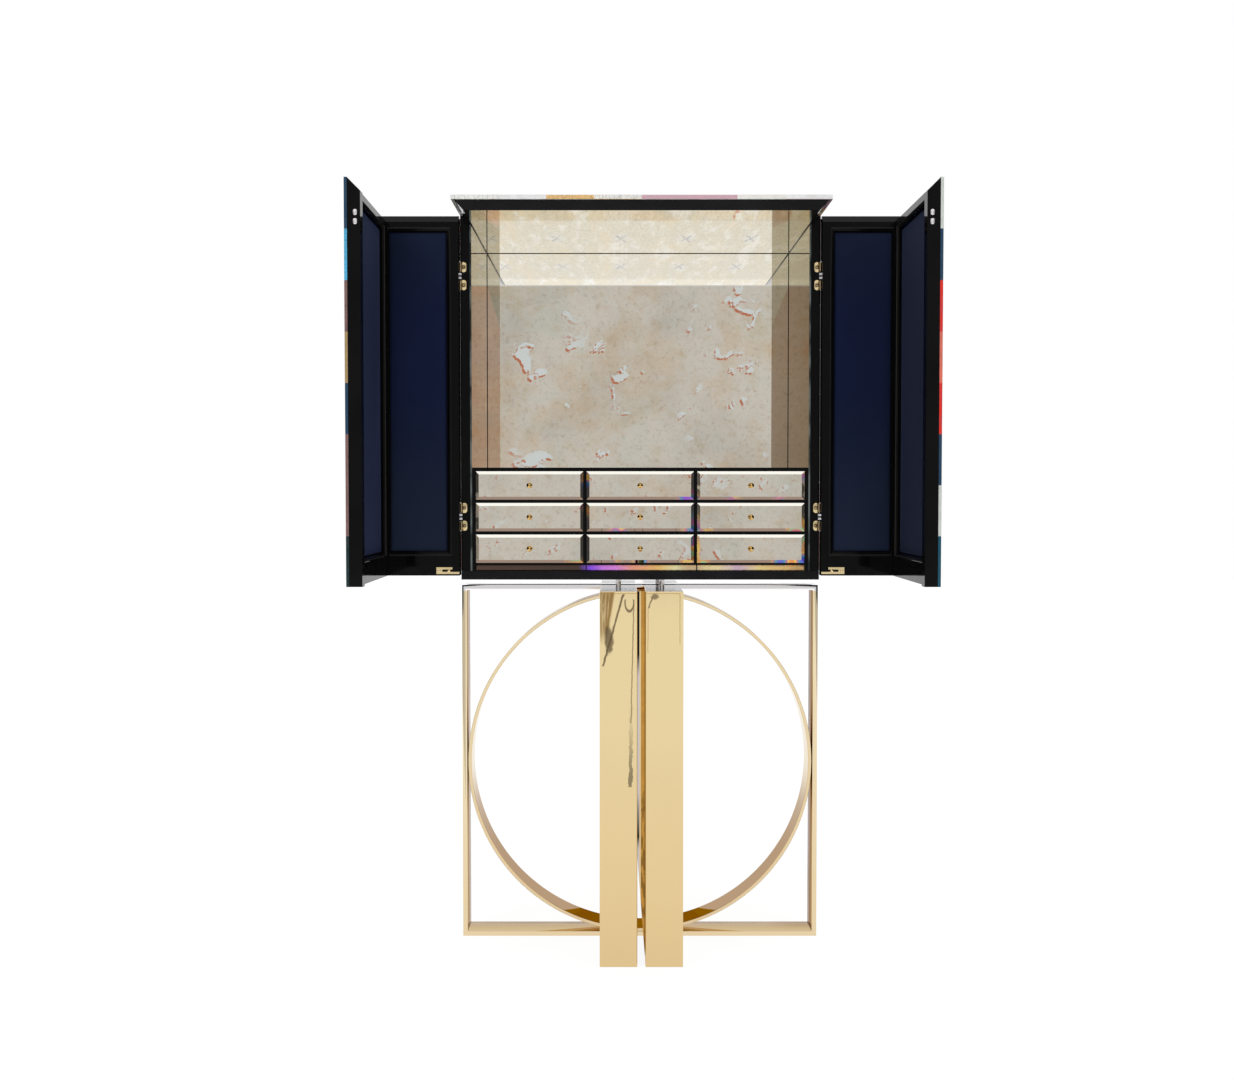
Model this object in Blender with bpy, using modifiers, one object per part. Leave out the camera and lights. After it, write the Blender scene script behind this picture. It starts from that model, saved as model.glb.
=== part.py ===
"""Wine cabinet on a polished brass stand, at rest with both L-shaped doors open.

Metres, +Z up, +X to the viewer's right, +Y towards the back. The origin is on the
floor, at the middle of the whole object with its doors open.
"""

import math

import bmesh
import bpy
from mathutils import Matrix, Vector

# Clearances
SEAT_GAP = 0.0003
DOOR_GAP = 0.002
DRAWER_GAP = 0.001
MEETING_GAP = 0.003

# Case
CASE_WIDTH = 0.860
CASE_DEPTH = 0.430
CASE_HEIGHT = 0.878
BOTTOM_THICK = 0.021
SIDE_THICK = 0.0217
BACK_THICK = 0.012
MIRROR_THICK = 0.004

# Top board, which reaches forward over the closed doors
TOP_EDGE = 0.009
TOP_BEVEL = 0.020
SKIN_THICK = 0.006
SLAB_THICK = 0.008
SLAB_LAND = 0.002

# Doors: a return panel at the case's side and a front panel, joined at a mitre
DOOR_DEPTH = 0.195
DOOR_THICK = 0.022
DOOR_LIFT = 0.011
MEETING_STILE_THICK = 0.034
MEETING_STILE_WIDTH = 0.028
HINGE_STILE_WIDTH = 0.0275
CORNER_POST = 0.003
CORNER_STILE_WIDTH = 0.034
TOP_RAIL = 0.022
BOTTOM_RAIL = 0.056
FIELD_FLOOR = 0.007
MOULDING_WIDTH = 0.009
MOULDING_DEPTH = 0.004
PAD_THICK = 0.004
PAD_CROWN = 0.0015
PAD_GAP = 0.0008

# Hinges, one pair on each door
LEAF_HEIGHT = 0.066
LEAF_WIDTH = 0.018
LEAF_THICK = 0.002
KNUCKLE_RADIUS = 0.003
KNUCKLE_HEIGHT = 0.022
WING_LAP = 0.002
UPPER_HINGE_DROP = 0.152
LOWER_HINGE_RISE = 0.151

# Door stays, on the bottom rail of each return panel
STAY_PLATE_START = 0.019
STAY_PLATE_LENGTH = 0.038
STAY_PLATE_HEIGHT = 0.016
STAY_THICK = 0.003
STAY_RISE = 0.004
STAY_ARM_HEIGHT = 0.005
STAY_ARM_LAP = 0.006
STAY_SLOT_HEIGHT = 0.0055
STAY_SLOT_LENGTH = 0.024

# Drawer case: three columns and three rows
DRAWER_COLUMNS = 3
DRAWER_ROWS = 3
CELL_MARGIN = 0.008
CELL_HEIGHT = 0.070
PARTITION = 0.006
LOWEST_BOARD = 0.004
COUNTER_THICK = 0.008
PLINTH_HEIGHT = 0.0137
PLINTH_THICK = 0.005
PLINTH_BEVEL = 0.0034
CASE_SETBACK = 0.002

# Drawers
FRONT_THICK = 0.005
FRONT_EDGE = 0.0025
FRONT_BEVEL = 0.010
DRAWER_WALL = 0.008
DRAWER_FLOOR = 0.004
DRAWER_BOX_HEIGHT = 0.058
DRAWER_BACK_GAP = 0.0331
DRAWER_SIDE_GAP = 0.002
KNOB_FOOT_RADIUS = 0.0042
KNOB_NECK_RADIUS = 0.0028
KNOB_TOP_RADIUS = 0.0023
KNOB_HEAD_RADIUS = 0.0065
KNOB_DOME = 0.005
KNOB_HEAD_DEPTH = 0.0063
KNOB_LENGTH = 0.014

# Brass stand
FRAME_HEIGHT = 0.862
FRAME_BAR = 0.0113
FRAME_TOP_BAR = 0.0125
FRAME_BAR_DEPTH = 0.080
FRAME_SETBACK = 0.0345
RING_THICK = 0.008
RING_SIDE_GAP = 0.0024
RING_STEPS = 96
COLUMN_GAP = 0.0188
COLUMN_WIDTH = 0.086
COLUMN_BACK = 0.376
COLUMN_WALL = 0.005
COLUMN_BEVEL = 0.0015
STUD_RADIUS = 0.007
STUD_RISE = 0.015
FRONT_STUD = 0.015
REAR_STUD = 0.331

# Worked out from the sizes above
HALF_CASE = CASE_WIDTH / 2
FRONT_LENGTH = HALF_CASE - MEETING_GAP / 2
FRONT_Y = (FRONT_LENGTH - CASE_DEPTH) / 2
BACK_Y = FRONT_Y + CASE_DEPTH
CASE_BOTTOM = FRAME_HEIGHT + STUD_RISE
CASE_FLOOR = CASE_BOTTOM + BOTTOM_THICK
CASE_TOP = CASE_BOTTOM + CASE_HEIGHT
TOP_BAND_Z = CASE_TOP - TOP_EDGE
CEILING_Z = TOP_BAND_Z - TOP_BEVEL
MIRROR_FACE_X = HALF_CASE - SIDE_THICK - SEAT_GAP - MIRROR_THICK
BACK_MIRROR_Y = BACK_Y - BACK_THICK - SEAT_GAP - MIRROR_THICK
DOOR_BOTTOM = CASE_BOTTOM + DOOR_LIFT
DOOR_TOP = TOP_BAND_Z - DOOR_GAP
FIELD_BOTTOM = DOOR_BOTTOM + BOTTOM_RAIL
FIELD_TOP = DOOR_TOP - (DOOR_THICK - SKIN_THICK) - TOP_RAIL
CELLS_WIDTH = 2 * (MIRROR_FACE_X - CELL_MARGIN)
CELL_WIDTH = (CELLS_WIDTH + PARTITION) / DRAWER_COLUMNS - PARTITION
DRAWER_BOX_Y = FRONT_Y + FRONT_THICK + 2 * SEAT_GAP
DRAWER_BOX_DEPTH = BACK_MIRROR_Y - DRAWER_BACK_GAP - DRAWER_BOX_Y
TOE_TOP = CASE_FLOOR + PLINTH_HEIGHT + 2 * SEAT_GAP
CELLS_Z = TOE_TOP + LOWEST_BOARD
CELLS_HEIGHT = DRAWER_ROWS * CELL_HEIGHT + (DRAWER_ROWS - 1) * PARTITION
COUNTER_TOP = CELLS_Z + CELLS_HEIGHT + COUNTER_THICK
COLUMN_FRONT_Y = FRONT_Y - DOOR_DEPTH
COLUMN_BACK_Y = FRONT_Y + COLUMN_BACK
FRAME_Y = FRONT_Y + FRAME_SETBACK
RING_RADIUS = (FRAME_HEIGHT - FRAME_BAR - FRAME_TOP_BAR) / 2 - SEAT_GAP
RING_Z = FRAME_BAR + SEAT_GAP + RING_RADIUS
FRAME_WIDTH = 2 * (RING_RADIUS + RING_SIDE_GAP + FRAME_BAR)
UPPER_HINGE_Z = CASE_TOP - UPPER_HINGE_DROP
LOWER_HINGE_Z = CASE_BOTTOM + LOWER_HINGE_RISE

# How far a cutter runs past the face it cuts
BEYOND = 0.01

SIDES = {"left": -1, "right": 1}
HINGES = {"upper": UPPER_HINGE_Z, "lower": LOWER_HINGE_Z}


def clear_scene():
    for obj in list(bpy.data.objects):
        bpy.data.objects.remove(obj, do_unlink=True)


def new_collection(name):
    made = bpy.data.collections.new(name)
    bpy.context.scene.collection.children.link(made)
    return made


def new_material(name, colour, roughness, metallic):
    made = bpy.data.materials.new(name)
    made.use_nodes = True
    made.diffuse_color = (*colour, 1.0)
    shader = made.node_tree.nodes["Principled BSDF"]
    shader.inputs["Base Color"].default_value = (*colour, 1.0)
    shader.inputs["Roughness"].default_value = roughness
    shader.inputs["Metallic"].default_value = metallic
    return made


clear_scene()
PARTS = new_collection("wine_cabinet")
CUTTERS = new_collection("cutters")
FINISHES = {
    "lacquer": ((0.012, 0.012, 0.013), 0.08, 0.0),
    "mirror": ((0.72, 0.66, 0.58), 0.05, 0.9),
    "marble": ((0.80, 0.76, 0.62), 0.25, 0.0),
    "brass": ((0.80, 0.60, 0.30), 0.12, 1.0),
    "drawer_wood": ((0.06, 0.045, 0.04), 0.45, 0.0),
    "velvet": ((0.012, 0.020, 0.070), 0.85, 0.0),
}


def add_pivot(name, location):
    """An empty on a joint's axis, which carries the pieces that move about it."""
    pivot = bpy.data.objects.new(name, None)
    pivot.location = location
    pivot.hide_render = True
    PARTS.objects.link(pivot)
    return pivot


def add_part(name, mesh, slot, pivot=None):
    """Makes the object, with a material of its own in its slot's colour.

    The mesh is in world coordinates until its pivot takes it.
    """
    part = bpy.data.objects.new(name, mesh)
    part.data.materials.append(new_material(f"{slot}.{name}", *FINISHES[slot]))
    PARTS.objects.link(part)
    if pivot is not None:
        part.data.transform(Matrix.Translation(-pivot.location))
        part.parent = pivot
    return part


def to_mesh(name, bm):
    bmesh.ops.recalc_face_normals(bm, faces=bm.faces)
    return plain_mesh(name, bm)


def plain_mesh(name, bm):
    mesh = bpy.data.meshes.new(name)
    bm.to_mesh(mesh)
    bm.free()
    return mesh


def cube_between(bm, low, high):
    """Adds a box from one corner to the opposite one."""
    low, high = Vector(low), Vector(high)
    size = Matrix.Diagonal((*map(abs, high - low), 1.0))
    bmesh.ops.create_cube(bm, size=1.0, matrix=Matrix.Translation((low + high) / 2) @ size)


def box_mesh(name, *boxes):
    bm = bmesh.new()
    for low, high in boxes:
        cube_between(bm, low, high)
    return to_mesh(name, bm)


def split(bm, point, normal):
    """Adds an edge loop where the plane passes."""
    everything = bm.verts[:] + bm.edges[:] + bm.faces[:]
    bmesh.ops.bisect_plane(bm, geom=everything, plane_co=point, plane_no=normal)


def cylinder_mesh(name, centre, radius, height):
    """An upright cylinder about its centre."""
    bm = bmesh.new()
    bmesh.ops.create_cone(
        bm, cap_ends=True, segments=16, radius1=radius, radius2=radius, depth=height,
        matrix=Matrix.Translation(centre),
    )
    return to_mesh(name, bm)


def turned_part(name, outline, slot, steps):
    """A closed profile, as (radius, height) points down its outer side, turned about Z."""
    bm = bmesh.new()
    points = [bm.verts.new((radius, 0.0, height)) for radius, height in outline]
    for first, second in zip(points, points[1:]):
        bm.edges.new((first, second))
    if outline[0][0] > 0:
        bm.edges.new((points[-1], points[0]))
    part = add_part(name, plain_mesh(name, bm), slot)
    turned = part.modifiers.new("turned", "SCREW")
    turned.steps = turned.render_steps = steps
    turned.use_merge_vertices = True
    turned.merge_threshold = 0.00001
    turned.use_normal_calculate = True
    return part


def add_box(name, low, high, slot, pivot=None):
    return add_part(name, box_mesh(name, (low, high)), slot, pivot)


def combine(part, mesh, operation):
    """Cuts the mesh out of the part, or joins it on."""
    helper = bpy.data.objects.new(f"{part.name}_{mesh.name}", mesh)
    helper.hide_render = True
    helper.display_type = "WIRE"
    CUTTERS.objects.link(helper)
    boolean = part.modifiers.new(mesh.name, "BOOLEAN")
    boolean.operation = operation
    boolean.solver = "EXACT"
    boolean.object = helper


def cut(part, mesh):
    combine(part, mesh, "DIFFERENCE")


def join(part, mesh):
    combine(part, mesh, "UNION")


# Case


def make_top_board():
    """A thin board over a bevelled one, which is set in at the front and both sides."""
    front = FRONT_Y - DOOR_DEPTH
    board = add_box(
        "top_board", (-HALF_CASE, front, TOP_BAND_Z), (HALF_CASE, BACK_Y, CASE_TOP), "lacquer"
    )
    half = HALF_CASE - SKIN_THICK
    bm = bmesh.new()
    cube_between(
        bm,
        (-half, front + SKIN_THICK, CEILING_Z),
        (half, BACK_Y, CASE_TOP - TOP_EDGE / 2),
    )
    split(bm, (0, 0, TOP_BAND_Z), (0, 0, 1))
    for vert in bm.verts:
        if vert.co.z < TOP_BAND_Z - TOP_BEVEL / 2:
            vert.co.x -= math.copysign(TOP_BEVEL, vert.co.x)
            if vert.co.y < FRONT_Y:
                vert.co.y += TOP_BEVEL
    join(board, to_mesh("bevelled_board", bm))
    low, high = slab_corners(SEAT_GAP)
    cut(board, box_mesh("slab_tray", (low - Vector((0, 0, BEYOND)), high)))
    add_box("ceiling_slab", *slab_corners(0.0), "marble")


def slab_corners(gap):
    """The corners of the ceiling slab, or of its tray with a gap around it."""
    half = HALF_CASE - SKIN_THICK - TOP_BEVEL - SLAB_LAND - SEAT_GAP + gap
    front = FRONT_Y - DOOR_DEPTH + SKIN_THICK + TOP_BEVEL + SLAB_LAND + SEAT_GAP - gap
    back = BACK_MIRROR_Y - SEAT_GAP + gap
    return Vector((-half, front, CEILING_Z)), Vector((half, back, CEILING_Z + SLAB_THICK + gap))


def make_side_board(hand, side):
    """The side's top edge is flat under the skin and mitred inside it."""
    bm = bmesh.new()
    cube_between(
        bm,
        (side * HALF_CASE, FRONT_Y, CASE_FLOOR + SEAT_GAP),
        (side * (HALF_CASE - SIDE_THICK), BACK_Y, TOP_BAND_Z - SEAT_GAP),
    )
    split(bm, (side * (HALF_CASE - SKIN_THICK), 0, 0), (1, 0, 0))
    middle = (CASE_FLOOR + TOP_BAND_Z) / 2
    for vert in bm.verts:
        if vert.co.z > middle:
            vert.co.z -= mitre_drop(HALF_CASE - abs(vert.co.x))
    board = add_part(f"side_board_{hand}", to_mesh("side_board", bm), "lacquer")
    room = KNUCKLE_RADIUS + 2 * SEAT_GAP
    leaf_depth = LEAF_THICK + SEAT_GAP
    for level, z in HINGES.items():
        span = leaf_span(z, SEAT_GAP)
        leaf_out = (-LEAF_WIDTH - SEAT_GAP, BEYOND)
        cut(board, axis_box(f"leaf_{level}", side, leaf_out, (-leaf_depth, BEYOND), span))
        cut(board, axis_box(f"knuckle_{level}", side, (-room, BEYOND), (-room, BEYOND), span))


def mitre_drop(depth):
    """How far a mitred top edge falls at a depth behind the outer face."""
    return max(0.0, depth - SKIN_THICK)


def make_case():
    make_top_board()
    for hand, side in SIDES.items():
        make_side_board(hand, side)
        add_box(
            f"side_mirror_{hand}",
            (side * MIRROR_FACE_X, FRONT_Y + CASE_SETBACK, CASE_FLOOR + SEAT_GAP),
            (
                side * (MIRROR_FACE_X + MIRROR_THICK),
                BACK_MIRROR_Y - SEAT_GAP,
                CEILING_Z - SEAT_GAP,
            ),
            "mirror",
        )
    inner = HALF_CASE - SIDE_THICK - SEAT_GAP
    add_box(
        "bottom_board",
        (-HALF_CASE, FRONT_Y, CASE_BOTTOM),
        (HALF_CASE, BACK_Y, CASE_FLOOR),
        "lacquer",
    )
    add_box(
        "back_board",
        (-inner, BACK_Y - BACK_THICK, CASE_FLOOR + SEAT_GAP),
        (inner, BACK_Y, CEILING_Z - SEAT_GAP),
        "lacquer",
    )
    add_box(
        "back_mirror",
        (-inner, BACK_MIRROR_Y, COUNTER_TOP + SEAT_GAP),
        (inner, BACK_MIRROR_Y + MIRROR_THICK, CEILING_Z - SEAT_GAP),
        "mirror",
    )


# Drawer case and drawers


def cell_corner(column, row):
    """The lower left corner of a drawer's cell; row 0 is the lowest."""
    x = -CELLS_WIDTH / 2 + column * (CELL_WIDTH + PARTITION)
    return x, CELLS_Z + row * (CELL_HEIGHT + PARTITION)


def make_drawer_case():
    half = MIRROR_FACE_X - SEAT_GAP
    front, back = FRONT_Y + CASE_SETBACK, BACK_MIRROR_Y - SEAT_GAP
    case = add_box(
        "drawer_case", (-half, front, CASE_FLOOR + SEAT_GAP), (half, back, COUNTER_TOP), "lacquer"
    )
    cells = []
    for column in range(DRAWER_COLUMNS):
        for row in range(DRAWER_ROWS):
            x, z = cell_corner(column, row)
            low = (x, front - BEYOND, z)
            cells.append((low, (x + CELL_WIDTH, back + BEYOND, z + CELL_HEIGHT)))
    cut(case, box_mesh("cells", *cells))
    low = (-CELLS_WIDTH / 2, front - BEYOND, CASE_FLOOR - BEYOND)
    cut(case, box_mesh("toe_space", (low, (CELLS_WIDTH / 2, back + BEYOND, TOE_TOP))))
    bevelled_glass(
        "plinth_strip",
        (-CELLS_WIDTH / 2 + SEAT_GAP, FRONT_Y, CASE_FLOOR + SEAT_GAP),
        (CELLS_WIDTH / 2 - SEAT_GAP, FRONT_Y + PLINTH_THICK, TOE_TOP - SEAT_GAP),
        PLINTH_BEVEL,
    )


def bevelled_glass(name, low, high, bevel, pivot=None):
    """A mirror whose front face is drawn in by the bevel, over a straight edge."""
    bm = bmesh.new()
    cube_between(bm, low, high)
    front = min(bm.faces, key=lambda face: face.calc_center_median().y)
    bmesh.ops.inset_region(bm, faces=[front], thickness=bevel, depth=0.0)
    face = set(front.verts)
    for vert in bm.verts:
        if vert not in face and vert.co.y < low[1] + FRONT_EDGE / 2:
            vert.co.y += FRONT_EDGE
    return add_part(name, to_mesh(name, bm), "mirror", pivot)


def knob_outline():
    """A turned knob: a domed head on a neck and a foot."""
    outline = [(0.0, KNOB_LENGTH)]
    steps = 3
    for step in range(steps + 1):
        angle = math.radians(90) * step / steps
        radius = KNOB_TOP_RADIUS + (KNOB_HEAD_RADIUS - KNOB_TOP_RADIUS) * math.sin(angle)
        outline.append((radius, KNOB_LENGTH - KNOB_DOME * (1 - math.cos(angle))))
    outline.append((KNOB_NECK_RADIUS, KNOB_LENGTH - KNOB_HEAD_DEPTH))
    outline.append((KNOB_NECK_RADIUS, KNOB_FOOT_RADIUS - KNOB_NECK_RADIUS))
    return outline + [(KNOB_FOOT_RADIUS, 0.0), (0.0, 0.0)]


def make_drawer(column, row):
    x, z = cell_corner(column, row)
    name = f"drawer_{'abc'[column]}{row + 1}"
    front_y = FRONT_Y + SEAT_GAP
    middle = Vector((x + CELL_WIDTH / 2, front_y, z + CELL_HEIGHT / 2))
    pivot = add_pivot(f"{name}_slide", middle)
    bevelled_glass(
        f"{name}_front",
        (x + DRAWER_GAP, front_y, z + DRAWER_GAP),
        (x + CELL_WIDTH - DRAWER_GAP, front_y + FRONT_THICK, z + CELL_HEIGHT - DRAWER_GAP),
        FRONT_BEVEL,
        pivot,
    )
    low = Vector((x + DRAWER_SIDE_GAP, DRAWER_BOX_Y, z + SEAT_GAP))
    size = Vector((CELL_WIDTH - 2 * DRAWER_SIDE_GAP, DRAWER_BOX_DEPTH, DRAWER_BOX_HEIGHT))
    box = add_box(f"{name}_box", low, low + size, "drawer_wood", pivot)
    wall = Vector((DRAWER_WALL, DRAWER_WALL, DRAWER_FLOOR))
    top = low + size - Vector((DRAWER_WALL, DRAWER_WALL, -BEYOND))
    cut(box, box_mesh("inside", (low + wall, top)))
    knob = turned_part(f"{name}_knob", knob_outline(), "brass", 16)
    knob.parent = pivot
    knob.rotation_euler = (math.radians(90), 0, 0)
    knob.location = (0, -SEAT_GAP, 0)


# Doors


def from_axis(side, out, forward, z):
    """A point by its distances outwards and forwards of a door's hinge axis."""
    return Vector((side * (HALF_CASE + out), FRONT_Y - forward, z))


def axis_box(name, side, out, forward, z):
    """A box given by its ranges outwards and forwards of the hinge axis, and in height."""
    low = from_axis(side, out[0], forward[0], z[0])
    high = from_axis(side, out[1], forward[1], z[1])
    return box_mesh(name, (low, high))


def leaf_span(z, gap=0.0):
    return z - LEAF_HEIGHT / 2 - gap, z + LEAF_HEIGHT / 2 + gap


def make_fixed_leaf(hand, side, level, z):
    """The leaf let into the case's front edge, with the upper and the lower knuckle."""
    name = f"hinge_fixed_{level}_{hand}"
    room = KNUCKLE_RADIUS + SEAT_GAP
    plate = axis_box(name, side, (-LEAF_WIDTH, -room), (-LEAF_THICK, 0.0), leaf_span(z))
    leaf = add_part(name, plate, "brass")
    low_z, high_z = leaf_span(z)
    length = (LEAF_HEIGHT - KNUCKLE_HEIGHT - SEAT_GAP) / 2
    spans = {"low": (low_z, low_z + length), "high": (high_z - length, high_z)}
    for place, span in spans.items():
        wing_out = (-room - WING_LAP, 0.0)
        join(leaf, axis_box(f"wing_{place}", side, wing_out, (-LEAF_THICK, 0.0), span))
        centre = from_axis(side, 0.0, 0.0, sum(span) / 2)
        join(leaf, cylinder_mesh(f"knuckle_{place}", centre, KNUCKLE_RADIUS, length))


def make_moving_leaf(hand, side, level, z, pivot):
    """The leaf let into the return panel's end, with the middle knuckle."""
    name = f"hinge_moving_{level}_{hand}"
    room = KNUCKLE_RADIUS + SEAT_GAP
    out = (DOOR_GAP, DOOR_GAP + LEAF_THICK)
    plate = axis_box(name, side, out, (room, LEAF_WIDTH), leaf_span(z))
    leaf = add_part(name, plate, "brass", pivot)
    length = KNUCKLE_HEIGHT - SEAT_GAP
    span = (z - length / 2, z + length / 2)
    join(leaf, axis_box("wing", side, out, (0.0, room + WING_LAP), span))
    join(leaf, cylinder_mesh("knuckle", from_axis(side, 0.0, 0.0, z), KNUCKLE_RADIUS, length))


def panel_block(out, forward, side, depth_of):
    """A block with its top edge mitred inside the skin, by the depth behind its face."""
    bm = bmesh.new()
    cube_between(
        bm,
        from_axis(side, out[0], forward[0], DOOR_BOTTOM),
        from_axis(side, out[1], forward[1], DOOR_TOP),
    )
    if depth_of == "forward":
        split(bm, from_axis(side, 0.0, SKIN_THICK, 0.0), (0, 1, 0))
    else:
        split(bm, from_axis(side, DOOR_DEPTH - SKIN_THICK, 0.0, 0.0), (1, 0, 0))
    return bm


def make_return_panel(hand, side, pivot):
    """The panel beside the case, mitred to the front panel and at its top edge."""
    far = DOOR_DEPTH - 2 * SEAT_GAP
    bm = panel_block((DOOR_GAP, far), (0.0, DOOR_THICK), side, "forward")
    middle = (DOOR_BOTTOM + DOOR_TOP) / 2
    for vert in bm.verts:
        depth = FRONT_Y - vert.co.y
        if vert.co.z > middle:
            vert.co.z -= mitre_drop(depth)
        if abs(vert.co.x) > HALF_CASE + DOOR_DEPTH / 2:
            vert.co.x -= side * depth
    panel = add_part(f"return_panel_{hand}", to_mesh("return_panel", bm), "lacquer", pivot)
    out = (DOOR_GAP + HINGE_STILE_WIDTH, DOOR_DEPTH - DOOR_THICK - CORNER_POST)
    back = DOOR_THICK + BEYOND
    field_z = (FIELD_BOTTOM, FIELD_TOP)
    cut(panel, axis_box("field", side, out, (FIELD_FLOOR, back), field_z))
    step_out = (out[0] - MOULDING_WIDTH, out[1])
    step = (DOOR_THICK - MOULDING_DEPTH, back)
    cut(panel, axis_box("moulding", side, step_out, step, moulding_span()))
    pocket_out = (-BEYOND, DOOR_GAP + LEAF_THICK + SEAT_GAP)
    for level, z in HINGES.items():
        forward = (-BEYOND, LEAF_WIDTH + SEAT_GAP)
        span = leaf_span(z, SEAT_GAP)
        cut(panel, axis_box(f"leaf_{level}", side, pocket_out, forward, span))


def moulding_span():
    return FIELD_BOTTOM - MOULDING_WIDTH, FIELD_TOP + MOULDING_WIDTH


def make_front_panel(hand, side, pivot):
    """The panel that closes half of the front, with a thick stile where the doors meet."""
    inner = DOOR_DEPTH - MEETING_STILE_THICK
    bm = panel_block((inner, DOOR_DEPTH), (0.0, FRONT_LENGTH), side, "out")
    middle = (DOOR_BOTTOM + DOOR_TOP) / 2
    for vert in bm.verts:
        depth = HALF_CASE + DOOR_DEPTH - abs(vert.co.x)
        if vert.co.z > middle:
            vert.co.z -= mitre_drop(depth)
        if vert.co.y > FRONT_Y - FRONT_LENGTH / 2:
            vert.co.y -= depth
    panel = add_part(f"front_panel_{hand}", to_mesh("front_panel", bm), "lacquer", pivot)
    stile = FRONT_LENGTH - MEETING_STILE_WIDTH
    face = DOOR_DEPTH - DOOR_THICK
    whole = (DOOR_BOTTOM - BEYOND, DOOR_TOP + BEYOND)
    cut(panel, axis_box("rebate", side, (inner - BEYOND, face), (-BEYOND, stile), whole))
    forward = (DOOR_THICK + CORNER_STILE_WIDTH, stile)
    field = (face - BEYOND, DOOR_DEPTH - FIELD_FLOOR)
    cut(panel, axis_box("field", side, field, forward, (FIELD_BOTTOM, FIELD_TOP)))
    step = (face - BEYOND, face + MOULDING_DEPTH)
    step_forward = (forward[0] - MOULDING_WIDTH, stile)
    cut(panel, axis_box("moulding", side, step, step_forward, moulding_span()))


def make_pad(name, low, high, facing, showing, pivot):
    """A thin upholstered pad, a little crowned on the face that shows."""
    bm = bmesh.new()
    cube_between(bm, low, high)
    bmesh.ops.subdivide_edges(bm, edges=bm.edges[:], cuts=7, use_grid_fill=True)
    centre, half = (low + high) / 2, (high - low) / 2
    across = 1 - facing
    for vert in bm.verts:
        local = vert.co - centre
        if local[facing] * showing <= 0:
            continue
        share = abs(local[facing] / half[facing])
        u, v = local[across] / half[across], local.z / half.z
        fall = 1 - (1 - u ** 4) * (1 - v ** 8)
        vert.co[facing] -= showing * share * PAD_CROWN * fall
    add_part(name, to_mesh(name, bm), "velvet", pivot)


def make_pads(hand, side, pivot):
    low_z, high_z = FIELD_BOTTOM + PAD_GAP, FIELD_TOP - PAD_GAP
    back = FIELD_FLOOR + SEAT_GAP
    face = back + PAD_THICK + PAD_CROWN
    near = DOOR_GAP + HINGE_STILE_WIDTH + PAD_GAP
    far = DOOR_DEPTH - DOOR_THICK - CORNER_POST - PAD_GAP
    low = from_axis(side, near, back, low_z)
    high = from_axis(side, far, face, high_z)
    make_pad(f"return_pad_{hand}", low, high, 1, -1, pivot)
    near = DOOR_THICK + CORNER_STILE_WIDTH + PAD_GAP
    far = FRONT_LENGTH - MEETING_STILE_WIDTH - PAD_GAP
    low = from_axis(side, DOOR_DEPTH - back, near, low_z)
    high = from_axis(side, DOOR_DEPTH - face, far, high_z)
    make_pad(f"front_pad_{hand}", low, high, 0, -side, pivot)


def make_stay(hand, side, pivot):
    """A slotted brass plate on the bottom rail and the arm that reaches the hinge line."""
    base = DOOR_THICK + SEAT_GAP
    face = base + STAY_THICK
    start, end = STAY_PLATE_START, STAY_PLATE_START + STAY_PLATE_LENGTH
    low_z = DOOR_BOTTOM + STAY_RISE
    high_z = low_z + STAY_PLATE_HEIGHT
    plate = axis_box("stay", side, (start, end), (base, face), (low_z, high_z))
    stay = add_part(f"door_stay_{hand}", plate, "brass", pivot)
    middle = (low_z + high_z) / 2
    slot_z = (middle - STAY_SLOT_HEIGHT / 2, middle + STAY_SLOT_HEIGHT / 2)
    slot_out = (start - BEYOND, start + STAY_SLOT_LENGTH)
    cut(stay, axis_box("slot", side, slot_out, (base - BEYOND, face + BEYOND), slot_z))
    arm_out = (DOOR_GAP, start + STAY_ARM_LAP)
    arm_z = (low_z, low_z + STAY_ARM_HEIGHT)
    join(stay, axis_box("arm", side, arm_out, (base, face + STAY_THICK / 3), arm_z))


def make_door(hand, side):
    pivot = add_pivot(f"door_axis_{hand}", from_axis(side, 0.0, 0.0, 0.0))
    make_return_panel(hand, side, pivot)
    make_front_panel(hand, side, pivot)
    make_pads(hand, side, pivot)
    make_stay(hand, side, pivot)
    for level, z in HINGES.items():
        make_fixed_leaf(hand, side, level, z)
        make_moving_leaf(hand, side, level, z, pivot)


# Brass stand


def make_frame():
    back = FRAME_Y + FRAME_BAR_DEPTH
    half = FRAME_WIDTH / 2
    frame = add_box("base_frame", (-half, FRAME_Y, 0.0), (half, back, FRAME_HEIGHT), "brass")
    low = (-half + FRAME_BAR, FRAME_Y - BEYOND, FRAME_BAR)
    high = (half - FRAME_BAR, back + BEYOND, FRAME_HEIGHT - FRAME_TOP_BAR)
    cut(frame, box_mesh("inside", (low, high)))


def make_ring():
    """A flat bar bent into a circle, which touches the frame above and below."""
    inner = RING_RADIUS - RING_THICK
    outline = (
        (RING_RADIUS, FRAME_BAR_DEPTH),
        (RING_RADIUS, 0.0),
        (inner, 0.0),
        (inner, FRAME_BAR_DEPTH),
    )
    ring = turned_part("base_ring", outline, "brass", RING_STEPS)
    ring.rotation_euler = (math.radians(90), 0, 0)
    ring.location = (0, FRAME_Y + FRAME_BAR_DEPTH, RING_Z)
    ring.modifiers["turned"].use_normal_flip = True


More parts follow.
